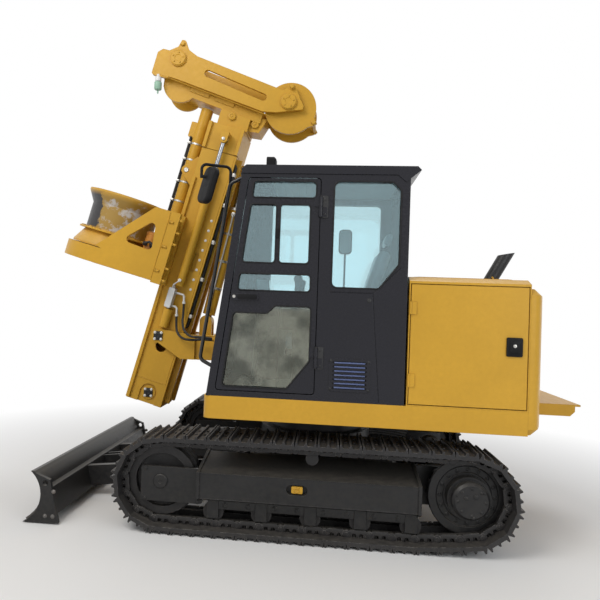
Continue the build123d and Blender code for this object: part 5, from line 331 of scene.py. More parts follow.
class Piece:
    """One mesh; those that ride a body are finished together, the others where they are made."""

    def __init__(self, name, body, slot, look=None):
        self.mesh = bmesh.new()
        self.name, self.body, self.slot, self.look = name, body, slot, look or slot
        if body:
            riding.append(self)

    def shell(self, rings, cap=True):
        loops = [[self.mesh.verts.new(p) for p in ring] for ring in rings]
        count = len(loops[0])
        for a, b in zip(loops, loops[1:]):
            for k in range(count):
                self.mesh.faces.new((a[k], a[(k + 1) % count], b[(k + 1) % count], b[k]))
        if cap:
            self.mesh.faces.new(tuple(reversed(loops[0])))
            self.mesh.faces.new(tuple(loops[-1]))

    def lathe(self, spot, axis, profile, count=20, cap=True, turn=0.0):
        a, b, n = frame_on(axis)
        angles = [turn + 2 * pi * k / count for k in range(count)]
        rings = []
        for r, h in profile:
            centre = spot + n * (h / 1000)
            rings.append([centre + (a * cos(t) + b * sin(t)) * (r / 1000) for t in angles])
        self.shell(rings, cap=cap)

    def bolt(self, spot, axis, r=10, washer=True, long=None):
        if washer:
            rim = ((1.75 * r, -0.5), (1.75 * r, 0.16 * r), (1.6 * r, 0.28 * r), (0.5 * r, 0.28 * r))
            self.lathe(spot, axis, rim, 18)
        high = long or 0.95 * r
        turn = random.random()
        head = ((1.1 * r, 0), (1.1 * r, high - 0.15 * r), (0.9 * r, high), (0.3 * r, high))
        self.lathe(spot, axis, head, 6, turn=turn)

    def ring_of_bolts(self, centre, axis, radius, count, r, start=0.0):
        a, b, _ = frame_on(axis)
        for k in range(count):
            t = start + 2 * pi * k / count
            self.bolt(centre + (a * cos(t) + b * sin(t)) * (radius / 1000), axis, r)

    def tube(self, points, r, count=10, closed=False):
        points = [Vector(p) for p in points]
        size = len(points)
        ways = []
        for k in range(size):
            a = points[k - 1] if k or closed else points[0]
            b = points[(k + 1) % size] if k < size - 1 or closed else points[-1]
            ways.append((b - a).normalized())
        across = ways[0].orthogonal().normalized()
        turns = [2 * pi * k / count for k in range(count)]
        rings = []
        for p, way in zip(points, ways):
            across = (across - way * across.dot(way)).normalized()
            other = way.cross(across)
            rings.append([p + (across * cos(t) + other * sin(t)) * (r / 1000) for t in turns])
        if closed:
            self.shell(rings + rings[:1], cap=False)
            bmesh.ops.remove_doubles(self.mesh, verts=self.mesh.verts, dist=1e-6)
        else:
            self.shell(rings)

    def slab(self, outline, way, depth, bevel=0.0):
        """A plate: its outline in space, pushed along way by depth millimetres, edges broken by bevel."""
        lift = Vector(way).normalized() * (depth / 1000)
        before = set(self.mesh.edges)
        low = [self.mesh.verts.new(p) for p in outline]
        high = [self.mesh.verts.new(p + lift) for p in outline]
        count = len(low)
        self.mesh.faces.new(tuple(reversed(low)))
        self.mesh.faces.new(tuple(high))
        for k in range(count):
            self.mesh.faces.new((low[k], low[(k + 1) % count], high[(k + 1) % count], high[k]))
        if bevel:
            fresh = [e for e in self.mesh.edges if e not in before]
            shape = {"segments": 2, "profile": 0.6, "affect": "EDGES"}
            bmesh.ops.bevel(self.mesh, geom=fresh, offset=bevel / 1000, **shape)

    def block(self, centre, sizes, ways=(FORWARD, LEFT, UP), bevel=3.0):
        a, b, c = (w * (s / 2000) for w, s in zip(ways, sizes))
        corners = [centre - c + p * a + q * b for p, q in ((-1, -1), (1, -1), (1, 1), (-1, 1))]
        self.slab(corners, ways[2], sizes[2], bevel)

    def panel(self, plane, across, along, way, depth, bevel, radius, steps=4):
        """A rectangular plate with round corners, its two spans measured in the plane."""
        corners = [(across[k], along[j]) for k, j in ((0, 0), (1, 0), (1, 1), (0, 1))]
        self.slab([plane(*p) for p in rounded(corners, radius, steps)], way, depth, bevel)

    def bead(self, a, b, r=5.0, pitch=9.0):
        """A weld bead with its ripples."""
        long = (b - a).length * 1000
        count = max(3, int(long / pitch))
        way = (b - a).normalized()
        across, other, _ = frame_on(way)
        turns = [2 * pi * j / BEAD_SIDES for j in range(BEAD_SIDES)]
        rings = []
        for k in range(2 * count + 1):
            swell = r * (1.0 if k % 2 else 0.74)
            p = a + (b - a) * (k / (2 * count))
            rings.append([p + (across * cos(t) + other * sin(t)) * (swell / 1000) for t in turns])
        self.shell(rings)

    def done(self):
        bmesh.ops.recalc_face_normals(self.mesh, faces=self.mesh.faces)
        data = bpy.data.meshes.new(self.name)
        self.mesh.to_mesh(data)
        self.mesh.free()
        smooth(data)
        data.set_sharp_from_angle(angle=SHARP)
        data.materials.append(materials[self.look])
        made = put(self.name, data)
        if self.body:
            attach(made, self.body)
        return made


def rounded(outline, radius, steps=4):
    """The outline in a plane with its corners turned on arcs."""
    out = []
    for k, corner in enumerate(outline):
        p, a, b = (Vector(q) for q in (corner, outline[k - 1], outline[(k + 1) % len(outline)]))
        to_a, to_b = (a - p).normalized(), (b - p).normalized()
        half = acos(max(-1, min(1, to_a.dot(to_b)))) / 2
        reach = min(radius * cos(half) / sin(half), 0.45 * min((a - p).length, (b - p).length))
        centre = p + (to_a + to_b).normalized() * (reach / cos(half))
        start, stop = p + to_a * reach - centre, p + to_b * reach - centre
        for s in range(steps + 1):
            way = start.lerp(stop, s / steps).normalized() * start.length
            out.append(centre + way)
    return out


# Turned profiles: radius, height along the axis
IDLER_CAP = ((52, 0), (52, 8), (46, 12), (16, 12), (14, 8), (3, 8))
SPROCKET_RING = (
    (150, 0), (272, 0), (272, 20), (266, 26), (216, 26),
    (208, 17), (170, 17), (164, 24), (150, 24),
)
HINGE_PIN = ((8, 0), (10, 2), (10, 5), (8, 6), (8, 150), (10, 151), (10, 154), (4, 156))
LEVER_GRIP = ((10, 0), (19, 12), (21, 40), (17, 72), (6, 84))
LEVER_BOOT = ((46, 0), (46, 8), (38, 20), (40, 28), (30, 40), (32, 48), (16, 62), (9, 64))
STICK_GRIP = ((20, 0), (27, 14), (22, 40), (26, 70), (33, 92), (28, 112), (10, 120))
FILLER_CAP = ((70, 0), (70, 10), (52, 14), (52, 40), (58, 44), (58, 66), (50, 74), (8, 76))
VALVE_TOP = ((14, 0), (14, 12), (10, 14), (10, 26), (6, 28), (6, 44), (2, 46))
FEED_GLAND = ((36.5, 0), (41, 3), (41, 26), (38, 30), (30, 31), (20.5, 31), (20.5, 24))
AXLE_CAP = ((66, 0), (66, 5), (62, 8), (30, 8), (26, 4), (5, 4))
TIE_NUT = ((25, -1), (25, 3), (20, 3), (20, 15), (16, 18), (4, 18))
CROWN_PIN = ((34, 0), (34, 6), (30, 8), (20, 8), (18, 5), (10, 5), (8, 9), (2, 9))
SWITCH_HEAD = ((16, 0), (16, 22), (26, 24), (28, 30), (28, 58), (24, 64), (10, 66), (10, 68))
SWITCH_WEIGHT = ((10, 0), (30, 3), (33, 8), (33, 64), (28, 72), (7, 74), (7, 100), (4, 106))
CLAW_BOLT = ((17, 0), (17, 5), (11, 6), (11, 32), (8, 36), (2, 36))
TRAY_BOLT = ((14, 0), (14, 5), (10, 6), (10, 36), (8, 39), (2, 39))
MOTOR_CAP = ((62, 0), (64, 2), (64, 22), (54, 30), (30, 34), (6, 34))
PIN_END = ((22, 0), (22, 4), (18, 7), (6, 7), (5, 4), (1, 4))
WINCH_MOTOR = ((60, 0), (96, 0), (96, 40), (78, 50), (78, 130), (70, 140), (10, 142))
POT_RING = ((300, 0), (352, 0), (352, 12), (346, 16), (300, 16))

# CAD nodes: their slots' materials, smooth curved faces
for name, part in nodes.items():
    part.data.materials.clear()
    part.data.materials.append(materials[slot_of[name]])
    smooth(part.data)
    weld = part.modifiers.new("weld", "WELD")
    weld.merge_threshold = 0.00002
    crease = part.modifiers.new("crease", "EDGE_SPLIT")
    crease.split_angle = radians(28)
nodes["drive_pot"].data.materials[0] = materials["pot_paint"]

# Free hoses between the elbows on the mast and the manifold on its bracket
HOSES = (
    (
        "hose_low", -85, 286, 80,
        ((0, 0, -76), (-18, 29, -68), (-58, 32, -46), (-88, 12, -8), (-98, -8, 14), (-92, -15, -8)),
    ),
    (
        "hose_high", -115, 406, 76,
        ((0, 0, -87), (-2, 37, -80), (-32, 53, -68), (-66, 37, -44), (-96, 4, 2), (-90, -15, -10)),
    ),
)
HOSE_R, HOSE_Y = 10, 235


def spline_points(points):
    """The NURBS line that these control points give."""
    data = bpy.data.curves.new("line", "CURVE")
    data.dimensions = "3D"
    data.resolution_u = 8
    line = data.splines.new("NURBS")
    line.points.add(len(points) - 1)
    for point, p in zip(line.points, points):
        point.co = (*p, 1)
    line.order_u = 3
    line.use_endpoint_u = True
    carrier = put("line", data)
    flat = bpy.data.meshes.new_from_object(carrier.evaluated_get(bpy.context.evaluated_depsgraph_get()))
    out = [v.co.copy() for v in flat.vertices]
    bpy.data.objects.remove(carrier)
    bpy.data.meshes.remove(flat)
    return out


for name, v, u, drop, runs in HOSES:
    way = [mast(v, u, HOSE_Y) - UP * (drop / 1000)]
    for run in runs:
        way.append(way[-1] + Vector(run) / 1000)
    way = spline_points(way)
    long = sum((b - a).length for a, b in zip(way, way[1:]))
    piece = Piece(name + "_rubber", None, "hose_rubber")
    piece.tube(way, HOSE_R, 16)
    tube = piece.done()
    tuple(way[0])
    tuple(way[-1])
    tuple(way[0])
    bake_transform(tube)
    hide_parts(name)

# Tracks: links with their pins, shoe bolts
TRACK_Y, SHOE_PITCH = 925, 154
IDLER_X, IDLER_Z, SPROCKET_X, SPROCKET_Z = 1092, 355, -1092, 372
IDLER_FACE, DRIVE_FACE, ROLLER_FACE = 1067, 1114, 1039
BELT = ((-720, 132, 80), (IDLER_X, IDLER_Z, 303), (SPROCKET_X, SPROCKET_Z, 290))
LINK_Y, LINK_T, BOSS_R, BOSS_IN, PIN_R = 113, 20, 27, 25, 13
LINK_BOSS = (
    (BOSS_R, 0), (BOSS_R, LINK_T + 4), (BOSS_R - 3, LINK_T + 7),
    (PIN_R + 1, LINK_T + 7), (PIN_R, LINK_T + 10), (3, LINK_T + 10),
)
LINK_NUT = ((13, 0), (13, 14), (10, 17), (3, 17))
# A link's outline: share of the pitch, height above the shoe
LINK_OUTLINE = (
    (0.06, 0), (0.04, 30), (0.16, 53), (0.84, 53), (0.96, 30), (0.94, 0), (0.76, 0), (0.76, 20), (0.71, 27),
    (0.6, 27), (0.56, 20), (0.56, 0), (0.44, 0), (0.44, 20), (0.4, 27), (0.29, 27), (0.24, 20), (0.24, 0),
)


def sprocket(y):
    return at(SPROCKET_X, y, SPROCKET_Z)


def on_arc(circle, start):
    x, z, r = circle
    return lambda s: (x + r * cos(start + s / r), z + r * sin(start + s / r))


def on_line(a, b, span):
    return lambda s: (a[0] + (b[0] - a[0]) * s / span, a[1] + (b[1] - a[1]) * s / span)


def belt_pins(circles, pitch):
    """Pins a pitch apart along a belt round circles of (x, z, radius)."""
    turns = []
    for k, (x0, z0, r0) in enumerate(circles):
        x1, z1, r1 = circles[(k + 1) % len(circles)]
        turns.append(atan2(z1 - z0, x1 - x0) - acos((r0 - r1) / hypot(x1 - x0, z1 - z0)))
    runs = []
    for k, (x0, z0, r0) in enumerate(circles):
        x1, z1, r1 = circles[(k + 1) % len(circles)]
        arc = (turns[k] - turns[k - 1]) % (2 * pi)
        runs.append((r0 * arc, on_arc(circles[k], turns[k - 1])))
        a = (x0 + r0 * cos(turns[k]), z0 + r0 * sin(turns[k]))
        b = (x1 + r1 * cos(turns[k]), z1 + r1 * sin(turns[k]))
        span = hypot(b[0] - a[0], b[1] - a[1])
        runs.append((span, on_line(a, b, span)))
    total = sum(run[0] for run in runs)
    count = round(total / pitch)
    pins = []
    for k in range(count):
        left = total * k / count
        for span, spot in runs:
            if left < span:
                break
            left -= span
        pins.append(spot(left))
    return pins


pins = belt_pins(BELT, SHOE_PITCH)
for side, label in ((1, "left"), (-1, "right")):
    links = Piece("track_links_" + label, "undercarriage", "track_steel")
    bolts = Piece("shoe_bolts_" + label, "undercarriage", "track_steel")
    for k, a in enumerate(pins):
        b = pins[(k + 1) % len(pins)]
        span = hypot(b[0] - a[0], b[1] - a[1])
        t = ((b[0] - a[0]) / span, (b[1] - a[1]) / span)
        n = (t[1], -t[0])

        def spot(s, h, y):
            return at(a[0] + t[0] * s + n[0] * h, side * (TRACK_Y + y), a[1] + t[1] * s + n[1] * h)

        out_way = Vector((n[0], 0, n[1]))
        for y in (62, -62):
            for s in (span * 0.3, span * 0.7):
                bolts.bolt(spot(s, 29, y), out_way, 9, washer=False, long=11)
        for face in (1, -1):
            near = LINK_Y if face > 0 else -LINK_Y - LINK_T
            outline = [spot(span * share, -high, near) for share, high in LINK_OUTLINE]
            links.slab(outline, LEFT * side, LINK_T, 2)
            links.lathe(spot(0, -BOSS_IN, face * (LINK_Y - 2)), LEFT * side * face, LINK_BOSS, 16)
            for share in (0.35, 0.65):
                links.lathe(spot(span * share, 0, face * (LINK_Y - 8)), -out_way, LINK_NUT, 6)

# Undercarriage fittings on both sides
TIE_X, TIE_Z = 97, 371
fittings = Piece("undercarriage_bolts", "undercarriage", "black_paint")
seams = Piece("track_frame_welds", "undercarriage", "black_paint")
plate = Piece("frame_tie_plates", "undercarriage", "yellow_paint")
for side in SIDES:
    out_way = LEFT * side
    for x, z in ((815, 225), (815, 445), (1205, 225), (1205, 445)):
        fittings.bolt(at(x, side * (IDLER_FACE + 1), z), out_way, 10)
    fittings.lathe(at(IDLER_X, side * IDLER_FACE, IDLER_Z), out_way, IDLER_CAP, 28)
    fittings.ring_of_bolts(sprocket(side * DRIVE_FACE), out_way, 92, 8, 7)
    for angle in (0.6, 2.2):
        x, z = SPROCKET_X + 45 * cos(angle), SPROCKET_Z + 45 * sin(angle)
        fittings.lathe(at(x, side * DRIVE_FACE, z), out_way, ((16, 0), (16, 5), (9, 6), (9, 10), (2, 10)), 12)
    for x in (-700, -350, 0, 350, 700):
        fittings.lathe(at(x, side * ROLLER_FACE, 157), out_way, ((22, 0), (22, 5), (18, 8), (4, 8)), 16)
    for z in (449, 267):
        seams.bead(at(-738, side * 1119, z), at(790, side * 1119, z), 4)
    for x in (-736, 792):
        seams.bead(at(x, side * 1120, 275), at(x, side * 1120, 440), 4)
    plate.panel(side_on(side * 1082), (TIE_X - 40, TIE_X + 40), (TIE_Z - 25, TIE_Z + 25), out_way, 30, 2, 10)
    turns = [2 * pi * k / 16 for k in range(16)]
    eye = [at(TIE_X + 16 * cos(t), side * 1114, TIE_Z + 16 * sin(t)) for t in turns]
    plate.tube(eye, 5, 8, closed=True)

# Guards between the rollers; sprocket rings, travel motor covers and their lines
guards = Piece("track_guards", "undercarriage", "black_paint")
rings = Piece("sprocket_rings", "undercarriage", "black_paint")
for side in SIDES:
    for low, high in ((-660, -392), (-308, -42), (42, 308), (392, 660)):
        for y, z, tall in ((TRACK_Y - 130, 178, 130), (TRACK_Y + 130, 212, 62)):
            guards.block(at((low + high) / 2, side * y, z), (high - low, 22, tall), bevel=6)
        for x in (low + 50, high - 50):
            guards.bolt(at(x, side * (TRACK_Y + 141), 214), LEFT * side, 11)
    rings.lathe(sprocket(side * (TRACK_Y + 28)), LEFT * side, SPROCKET_RING, 72, cap=False)
    rings.ring_of_bolts(sprocket(side * (TRACK_Y + 45)), LEFT * side, 189, 16, 8)
    rings.ring_of_bolts(sprocket(side * (DRIVE_FACE + 1)), LEFT * side, 106, 3, 6, 0.4)
    guards.block(at(-1030, side * 640, 390), (330, 150, 250), bevel=26)
    guards.lathe(sprocket(side * 620), -LEFT * side, ((110, 0), (110, 60), (96, 84), (40, 92), (8, 92)), 28)
    for k in range(4):
        z = 452 + 26 * k
        run = [(-900, 600, z - 30), (-760, 560 - 22 * k, z + 10)]
        run += [(-560, 470 - 30 * k, z + 44), (-380, 330, z + 46)]
        guards.tube([at(x, side * y, h) for x, y, h in run], 13, 10)

# Blade: bolted cutting edge, bolts on the end plates
BLADE_TOP, BLADE_MID, BLADE_TIP = Vector((2053, 380)), Vector((1974, 181)), Vector((2102, 8))


def circle_through(a, b, c):
    d = 2 * (a.x * (b.y - c.y) + b.x * (c.y - a.y) + c.x * (a.y - b.y))
    x = (a.length_squared * (b.y - c.y) + b.length_squared * (c.y - a.y) + c.length_squared * (a.y - b.y)) / d
    y = (a.length_squared * (c.x - b.x) + b.length_squared * (a.x - c.x) + c.length_squared * (b.x - a.x)) / d
    return Vector((x, y)), (a - Vector((x, y))).length


bow, bow_r = circle_through(BLADE_TOP, BLADE_MID, BLADE_TIP)


def on_bow(z, proud):
    lift = asin((z - bow.y) / bow_r)
    return bow.x - (bow_r - proud) * cos(lift), bow.y + (bow_r - proud) * sin(lift)


EDGE_HALF = 1095
edge_strip = Piece("cutting_edge", "blade", "black_paint", "bare_steel")
edge_bolts = Piece("blade_bolts", "blade", "black_paint", "bare_steel")
rows = (14, 40, 70, 100, 124)
section = [on_bow(z, -1) for z in rows] + [on_bow(z, 13) for z in reversed(rows)]
edge_strip.slab([at(x, -EDGE_HALF, z) for x, z in section], LEFT, 2 * EDGE_HALF, 2)
for k in range(9):
    y = -960 + 240 * k
    for z in (44, 96):
        x, h = on_bow(z, 13)
        facing_way = Vector((bow.x - x, 0, bow.y - h)).normalized()
        edge_bolts.lathe(at(x, y, h), facing_way, ((17, -1), (17, 2), (14, 5), (6, 5), (5, 3), (1, 3)), 14)
for side in SIDES:
    for x, z in ((1872, 60), (1872, 240), (1930, 60)):
        edge_bolts.bolt(at(x, side * 1130, z), LEFT * side, 9)

# Cab: window seals on the outer faces
CAB_LEFT, CAB_RIGHT, CAB_REAR_X = 1100, 200, -620


def front(z):
    return slant_x(z) - 100, z


DOOR_PANES = (
    (front(2433), front(2552), (34, 2552), (34, 2433)),
    (front(1965), front(2386), (313, 2386), (313, 1965)),
    ((287, 1965), (287, 2386), (72, 2386), (72, 1965)),
    (front(1765), front(1887), (56, 1887), (56, 1765)),
    (front(1072), front(1604), (357, 1604), (302, 1659), (44, 1659), (44, 1274), (201, 1072)),
)
REAR_WINDOW = ((-92, 2556), (-500, 2556), (-560, 2496), (-560, 1979), (-424, 1803), (-92, 1803))
RIGHT_WINDOW = ((430, 2540), (-500, 2540), (-500, 1700), (430, 1700))
SCREEN_PANE = ((290, 1110), (1010, 1110), (1010, 2540), (290, 2540))
BACK_PANE = ((290, 1800), (1010, 1800), (1010, 2520), (290, 2520))
SEAL_R, VENT_X, VENT_Z, HINGES = 6, -240, 1190, (1232, 2300)


def seal(piece, plane, pane, radius):
    piece.tube([plane(*p) for p in rounded(pane, radius)], SEAL_R, 8, closed=True)


door_seals = Piece("door_window_seals", "cab_door", "dark_plastic", "rubber_seal")
cab_seals = Piece("cab_window_seals", "upper", "dark_plastic", "rubber_seal")
for pane in DOOR_PANES:
    seal(door_seals, side_on(CAB_LEFT), pane, 26)
seal(cab_seals, side_on(CAB_LEFT), REAR_WINDOW, 40)
seal(cab_seals, side_on(CAB_RIGHT), RIGHT_WINDOW, 40)
seal(cab_seals, lambda y, z: at(slant_x(z), y, z), SCREEN_PANE, 12)
seal(cab_seals, cross_at(CAB_REAR_X), BACK_PANE, 12)

# Cab fittings: handle, lock, vent bolts, hinge pins, wiper, roof hatch, lamp lens
handle = Piece("door_handle", "cab_door", "dark_plastic")
handle.panel(side_on(CAB_LEFT + 25), (430, 570), (1698, 1734), LEFT, 10, 3, 12)
handle.block(at(300, CAB_LEFT + 1, 2176), (34, 16, 70))
locks = Piece("door_lock", "cab_door", "chrome", "zinc")
locks.lathe(at(594, CAB_LEFT + 25, 1716), LEFT, ((11, 0), (11, 4), (8, 6), (8, 5), (1, 5)), 18)
small = Piece("cab_bolts", "upper", "rail_paint")
small.lathe(at(-360, CAB_LEFT - 1, 1720), LEFT, ((15, 0), (15, 4), (11, 6), (4, 6), (3, 4), (1, 4)), 20)
for dx in (-131, 131):
    for dz in (-98, 98):
        small.bolt(at(VENT_X + dx, CAB_LEFT + 6, VENT_Z + dz), LEFT, 6)
for z in HINGES:
    small.lathe(at(0, CAB_LEFT + 16, z - 6), UP, HINGE_PIN, 14)
WIPER_ARM = ((1180, 440, 0.2), (1300, 460, 0.9), (1650, 520, 1), (1860, 556, 0.9))
wiper = Piece("windscreen_wiper", "upper", "rail_paint")
wiper.tube([at(slant_x(z) + 12 + 20 * lift, y, z) for z, y, lift in WIPER_ARM], 7, 8)
wiper.lathe(at(slant_x(1170) - 2, 438, 1170), FORWARD, ((30, 0), (30, 14), (22, 26), (6, 26)), 20)
for proud, r, rows in ((10, 6, (1500, 1820, 2160)), (22, 5, (1620, 1820, 2020))):
    wiper.tube([at(slant_x(z) + proud, 548 + (z - 1820) * 0.03, z) for z in rows], r, 6)
hatch = Piece("roof_hatch", "upper", "cab_paint")
hatch.panel(level_at(2666), (-330, 200), (410, 890), UP, 22, 7, 60, 6)
for y in (500, 800):
    hatch.block(at(-335, y, 2676), (50, 70, 20), bevel=4)
lens_face = Piece("lamp_lens", "upper", "glass", "lamp_glass")
lens_face.panel(cross_at(425), (748, 852), (2716, 2784), FORWARD, 3, 1, 16)

# Cab inside: levers, pedals, grips, screen, mirror
STICK_X, MONITOR = 147, at(470, 480, 1826)
inside = Piece("cab_controls", "upper", "dark_plastic")
for y in (580, 720):
    inside.tube([at(470, y, 1040), at(462, y, 1180), at(430, y, 1330), at(372, y, 1440)], 9, 10)
    inside.lathe(at(380, y, 1424), LEAN_BACK, LEVER_GRIP, 14)
    inside.lathe(at(470, y, 1040), UP, LEVER_BOOT, 16)
    pedal = ((480, y - 48), (590, y - 48), (590, y + 48), (480, y + 48))
    inside.slab([at(x, w, 1062 + (x - 480) * 0.35) for x, w in pedal], UP, 12, 3)
for y in (319, 981):
    for k in range(5):
        r = 46 - 6 * k
        inside.lathe(at(STICK_X, y, 1640 + 14 * k), UP, ((r, 0), (r + 4, 5), (r - 2, 12), (10, 12)), 16)
    inside.lathe(at(STICK_X, y, 1770), UP, STICK_GRIP, 16)
inside.tube([at(-203, 276, 2140), at(-203, 272, 1900), at(-203, 256, 1640)], 8, 10)
inside.panel(side_on(268), (-258, -148), (2119, 2325), LEFT, 16, 5, 30)
SCREEN_WAY = Vector((-0.75, 0.63, 0.2)).normalized()
SCREEN_SIDE = UP.cross(SCREEN_WAY).normalized()
SCREEN_WAYS = (SCREEN_SIDE, SCREEN_WAY.cross(SCREEN_SIDE), SCREEN_WAY)
inside.block(MONITOR, (156, 112, 28), SCREEN_WAYS, 8)
screen = Piece("monitor_face", "upper", "dark_plastic", "screen_face")
screen.panel(cross_at(417), (262, 420), (1770, 1868), FORWARD, 4, 1, 8)
screen.block(MONITOR + SCREEN_WAY * 0.014, (130, 88, 4), SCREEN_WAYS, 1)
# The mirror's pale face is a painted reflection.
mirror = Piece("inside_mirror", "upper", "glass", "mirror_painted_reflection")
mirror.panel(side_on(284), (-250, -156), (2127, 2317), LEFT, 2, 0.5, 24)


# Seat: padded cushions that stand for the seat's solid, on its base
def swell(made, reach):
    """Blows the pad up as cloth and keeps each point within reach of where it was."""
    made.data.remesh_voxel_size = 0.008
    bpy.context.view_layer.objects.active = made
    made.select_set(True)
    bpy.ops.object.voxel_remesh()
    made.select_set(False)
    rest = [v.co.copy() for v in made.data.vertices]
    cloth = made.modifiers.new("cloth", "CLOTH")
    cloth.settings.use_pressure = True
    cloth.settings.uniform_pressure_force = 4
    cloth.settings.effector_weights.gravity = 0
    cloth.settings.quality = 5
    cloth.point_cache.frame_start, cloth.point_cache.frame_end = 1, 20
    for step in range(1, 21):
        scene.frame_set(step)
    shaped = made.evaluated_get(bpy.context.evaluated_depsgraph_get())
    moved = [v.co.copy() for v in shaped.to_mesh().vertices]
    shaped.to_mesh_clear()
    made.modifiers.remove(cloth)
    scene.frame_set(1)
    for v, a, b in zip(made.data.vertices, rest, moved):
        step = b - a
        v.co = a + step * min(1, reach / max(step.length, 1e-9))


def sewn(made, origin, across, top, channels, deep, wide):
    """Presses sewn channels into the face that looks along top."""
    for v in made.data.vertices:
        place = v.co - origin
        s = place.dot(across)
        sunk = sum(deep * 2.718 ** -(((s - c) / wide) ** 2) for c in channels)
        v.co -= top * sunk * (1 if place.dot(top) > 0 else 0)


SEAT_Y = 650
BACK_WAY = Vector((-0.305, 0, 0.952))
BACK_FACE = Vector((0.952, 0, 0.305))
BACK_WAYS = (BACK_FACE, LEFT, BACK_WAY)
PADS = (
    ("seat_cushion", at(10, SEAT_Y, 1398), (470, 470, 100), (FORWARD, LEFT, UP), UP, (-0.145, 0.145)),
    ("seat_back", at(-393, SEAT_Y, 1800), (64, 470, 640), BACK_WAYS, BACK_FACE, (-0.14, 0.14)),
    ("seat_head", at(-514, SEAT_Y, 2192), (44, 236, 96), BACK_WAYS, BACK_FACE, ()),
)


def behind_back(y, z):
    return at(-290, y, z) + (BACK_WAY.x / BACK_WAY.z) * FORWARD * ((z - 1440) / 1000)


for name, centre, sizes, ways, top, channels in PADS:
    pad = Piece(name, None, "seat_cloth")
    pad.block(centre, sizes, ways, 20)
    made = pad.done()
    swell(made, 0.016)
    sewn(made, centre, LEFT, top, channels, 0.010, 0.012)
    finer = made.modifiers.new("finer", "SUBSURF")
    finer.levels = finer.render_levels = 1
    smooth(made.data)
    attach(made, "upper")
    if name == "seat_cushion":
        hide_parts("seat")
base = Piece("seat_base", "upper", "dark_plastic")
base.panel(level_at(1040), (-150, 160), (445, 855), UP, 60, 6, 30)
for k in range(6):
    inset = 24 if k % 2 else 0
    long, wide = (-140 + inset, 150 - inset), (455 + inset, 845 - inset)
    base.panel(level_at(1098 + 34 * k), long, wide, UP, 38, 4, 30)
base.panel(level_at(1298), (-235, 235), (420, 880), UP, 44, 8, 30)
for y in (590, 710):
    base.tube([at(-470, y, 2040), at(-508, y, 2160)], 9, 10)
base.panel(behind_back, (440, 860), (1440, 2080), BACK_FACE, 22, 5, 60)

# Engine hood: latch, lid, top grille, grips, lifting sockets, exhaust collar
latch = Piece("hood_latch", "hood_door", "dark_plastic")
LATCH_X, LATCH_Z = -1345, 1437
LATCH = ((53, 65, 1095, 16), (39, 50, 1110, 3), (33, 40, 1112, 4))
for wide, high, y, deep in LATCH:
    across, along = (LATCH_X - wide, LATCH_X + wide), (LATCH_Z - high, LATCH_Z + high)
    latch.panel(side_on(y), across, along, LEFT, deep, 1.5, 10)
latch_lock = Piece("hood_lock", "hood_door", "chrome", "zinc")
latch_lock.lathe(at(LATCH_X, 1115, LATCH_Z + 8), LEFT, ((12, 0), (12, 4), (8, 6), (3, 6), (2, 4), (1, 4)), 18)
HOOD_GRIP = ((-70, 1905), (-66, 1950), (-40, 1960), (40, 1960), (66, 1950), (70, 1905))
hood = Piece("hood_lid", "upper", "yellow_paint")
hood.panel(level_at(1899), (-1400, -700), (-860, 860), UP, 14, 5, 40)
for k in range(14):
    y = -760 + 42 * k
    hood.block(at(-1050, y, 1918), (420, 12, 14))
for y in (-300, 300):
    hood.tube([at(-1385, y + dy, z) for dy, z in HOOD_GRIP], 8, 8)
trim = Piece("counterweight_fittings", "upper", "black_paint")
for y in (-640, 640):
    trim.lathe(at(-1580, y, 1838), UP, ((46, 0), (46, 8), (40, 12), (26, 12), (24, 4), (4, 4)), 24)
trim.lathe(at(-1376, 300, 1880), LEAN_BACK, ((62, 0), (66, 6), (66, 34), (62, 40)), 26, cap=False)

# Tank side: filler cap, grab bar, hinges
TANK_GRIP = ((-1098, 1200), (-1120, 1204), (-1126, 1226), (-1126, 1494), (-1120, 1516), (-1098, 1520))
tank = Piece("tank_fittings", "upper", "black_paint")
tank.lathe(at(-240, -560, 1559), UP, FILLER_CAP, 26)
tank.tube([at(-60, y, z) for y, z in TANK_GRIP], 11, 10)
for z in (1140, 1420):
    tank.block(at(-560, -1098, z), (60, 16, 70), bevel=4)

# Mast: pin retainers, bolt rows, welds
MAST_SIDE = 190


def retainer(plates, bolts, v, u, y, half, turn):
    """A square keeper plate with four bolts, its pin's end in the middle."""
    way = LEFT if y > 0 else -LEFT
    corners = [(cos(turn + k * pi / 2), sin(turn + k * pi / 2)) for k in range(4)]
    outline = rounded([(half * 1.3 * a, half * 1.3 * b) for a, b in corners], 12)
    plates.slab([mast(v + p[0], u + p[1], y) for p in outline], way, 10, 2)
    end = ((half * 0.5, 0), (half * 0.5, 5), (half * 0.34, 6), (half * 0.3, 3), (3, 3))
    plates.lathe(mast(v, u, y) + way * 0.009, way, end, 22)
    for a, b in corners:
        bolts.bolt(mast(v + half * 0.95 * a, u + half * 0.95 * b, y) + way * 0.0095, way, 7)


def weld(piece, side, rows):
    """Beads on one side of the mast: from (v, u) to (v, u), then y, radius and pitch."""
    for v0, u0, v1, u1, y, r, pitch in rows:
        piece.bead(mast(v0, u0, side * y), mast(v1, u1, side * y), r, pitch)


